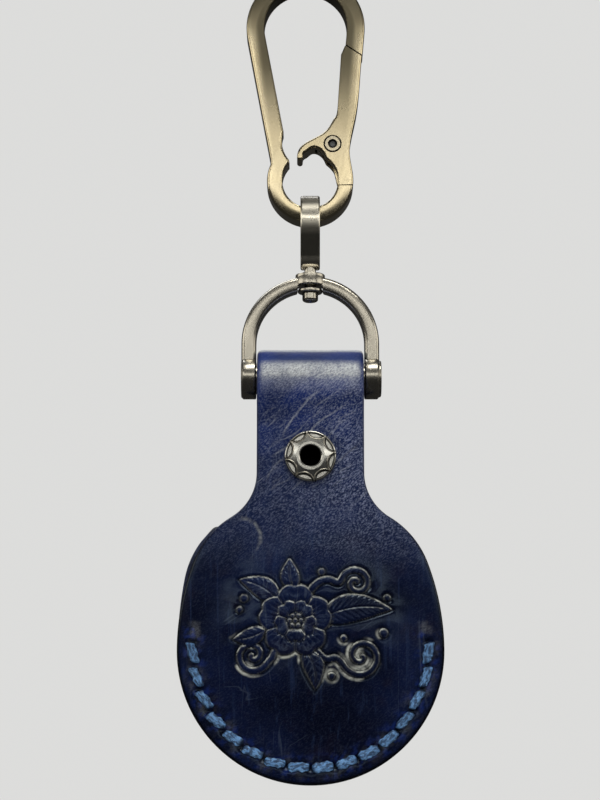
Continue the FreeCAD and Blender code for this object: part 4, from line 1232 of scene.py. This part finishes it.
# Floor, light and camera, in metres unless a name says otherwise
FLOOR_R_MM = 3000
FLOOR_DROP_MM = 80
FLOOR_SIDES = 96
FLOOR_TONES = ((0.6, 0.6, 0.59), (0.64, 0.64, 0.63))
BACKDROP = (0.72, 0.72, 0.71)
ROOM_GLOW = (-0.1, 0.9, 0.045, 0.12)
WARM_LIGHT = (1.0, 0.97, 0.9)
SIDE_LIGHT = (1.0, 0.95, 0.85)
COOL_LIGHT = (0.97, 0.98, 1.0)
MIDDLE = (0, 0, -0.08)
CARD_Y = -1.1
# Front cards: name, place across, width, lower and upper edge, power in watts
FRONT_CARDS = (("front_low", 0.3, 1.7, 0.12, 0.222, 0.85), ("front", 0.1, 1.7, 0.222, 0.31, 1.65),
               ("front_left", -0.85, 0.7, 0.31, 0.56, 1.2), ("front_right", 0.9, 0.7, 0.31, 0.56, 0.9))
SENSOR_MM = 36.0
LENS_MM = 100.39
CAMERA_TILT = 11.0
CAMERA_REACH = 0.42
TARGET = (-0.00194, 0.0, -0.08105)


def make_floor():
    n = Finish("floor_pale")
    mottle = n.noise(9, 3, 0.5)
    n.set(Base_Color=n.mix(n.ramp(mottle, 0.3, 0.7), *FLOOR_TONES))
    n.set(Roughness=n.ramp(mottle, 0.3, 0.7, 0.75, 0.85))
    angles = np.linspace(0, 2 * math.pi, FLOOR_SIDES, endpoint=False)
    verts = [(FLOOR_R_MM * math.cos(a), FLOOR_R_MM * math.sin(a), POCKET_Z - FLOOR_DROP_MM) for a in angles]
    floor = mesh_object("floor", verts, [tuple(range(FLOOR_SIDES))], n.owner, False)
    floor.visible_glossy = False


def aimed(obj, place, aim):
    obj.location = place
    obj.rotation_euler = (aim - place).to_track_quat("-Z", "Y").to_euler()


def area_light(name, place, aim, size, power, colour):
    data = bpy.data.lights.new(name, "AREA")
    data.shape = "RECTANGLE"
    data.size, data.size_y = size
    data.energy = power
    data.color = colour
    aimed(add_object(name, data), Vector(place), Vector(aim))


def make_world():
    """Pale backdrop to the camera, a dimmer room with a brighter ceiling to everything else."""
    n = Nodes(bpy.data.worlds.new("studio"), "Generated")
    bpy.context.scene.world = n.owner
    glow = n.ramp(n.axes()["Z"], *ROOM_GLOW, "LINEAR")
    swap = n.add("MixShader")
    sources = (
        n.add("LightPath").outputs["Is Camera Ray"],
        n.fill(n.add("Background"), Strength=glow)[0],
        n.fill(n.add("Background"), Color=BACKDROP)[0],
    )
    for socket, source in zip(swap.inputs, sources):
        n.feed(socket, source)
    n.fill(n.add("OutputWorld"), Surface=swap.outputs[0])


make_floor()
make_world()
area_light("key", (0.1, -0.41, 0.83), MIDDLE, (0.65, 0.3), 5.5, WARM_LIGHT)
for name, x, wide, low, high, power in FRONT_CARDS:
    spot = Vector((x, CARD_Y, (low + high) / 2))
    area_light(name, spot, spot + Vector((0, 1, 0)), (wide, high - low), power, WARM_LIGHT)
for name, side in (("left", -1), ("right", 1)):
    area_light(name, (0.85 * side, -0.1, 0.22), (0, 0, -0.06), (0.8, 0.35), 1.6, SIDE_LIGHT)
area_light("back", (-0.3, 0.5, 0.8), MIDDLE, (0.7, 0.5), 3.5, COOL_LIGHT)

camera = add_object("camera", bpy.data.cameras.new("camera"))
camera.data.sensor_width = SENSOR_MM
camera.data.lens = LENS_MM
camera.data.clip_start = 0.01
tilt = math.radians(CAMERA_TILT)
target = Vector(TARGET)
aimed(camera, target + Vector((0, -math.cos(tilt), -math.sin(tilt))) * CAMERA_REACH, target)
bpy.context.scene.camera = camera
bpy.context.scene.view_settings.view_transform = "Standard"
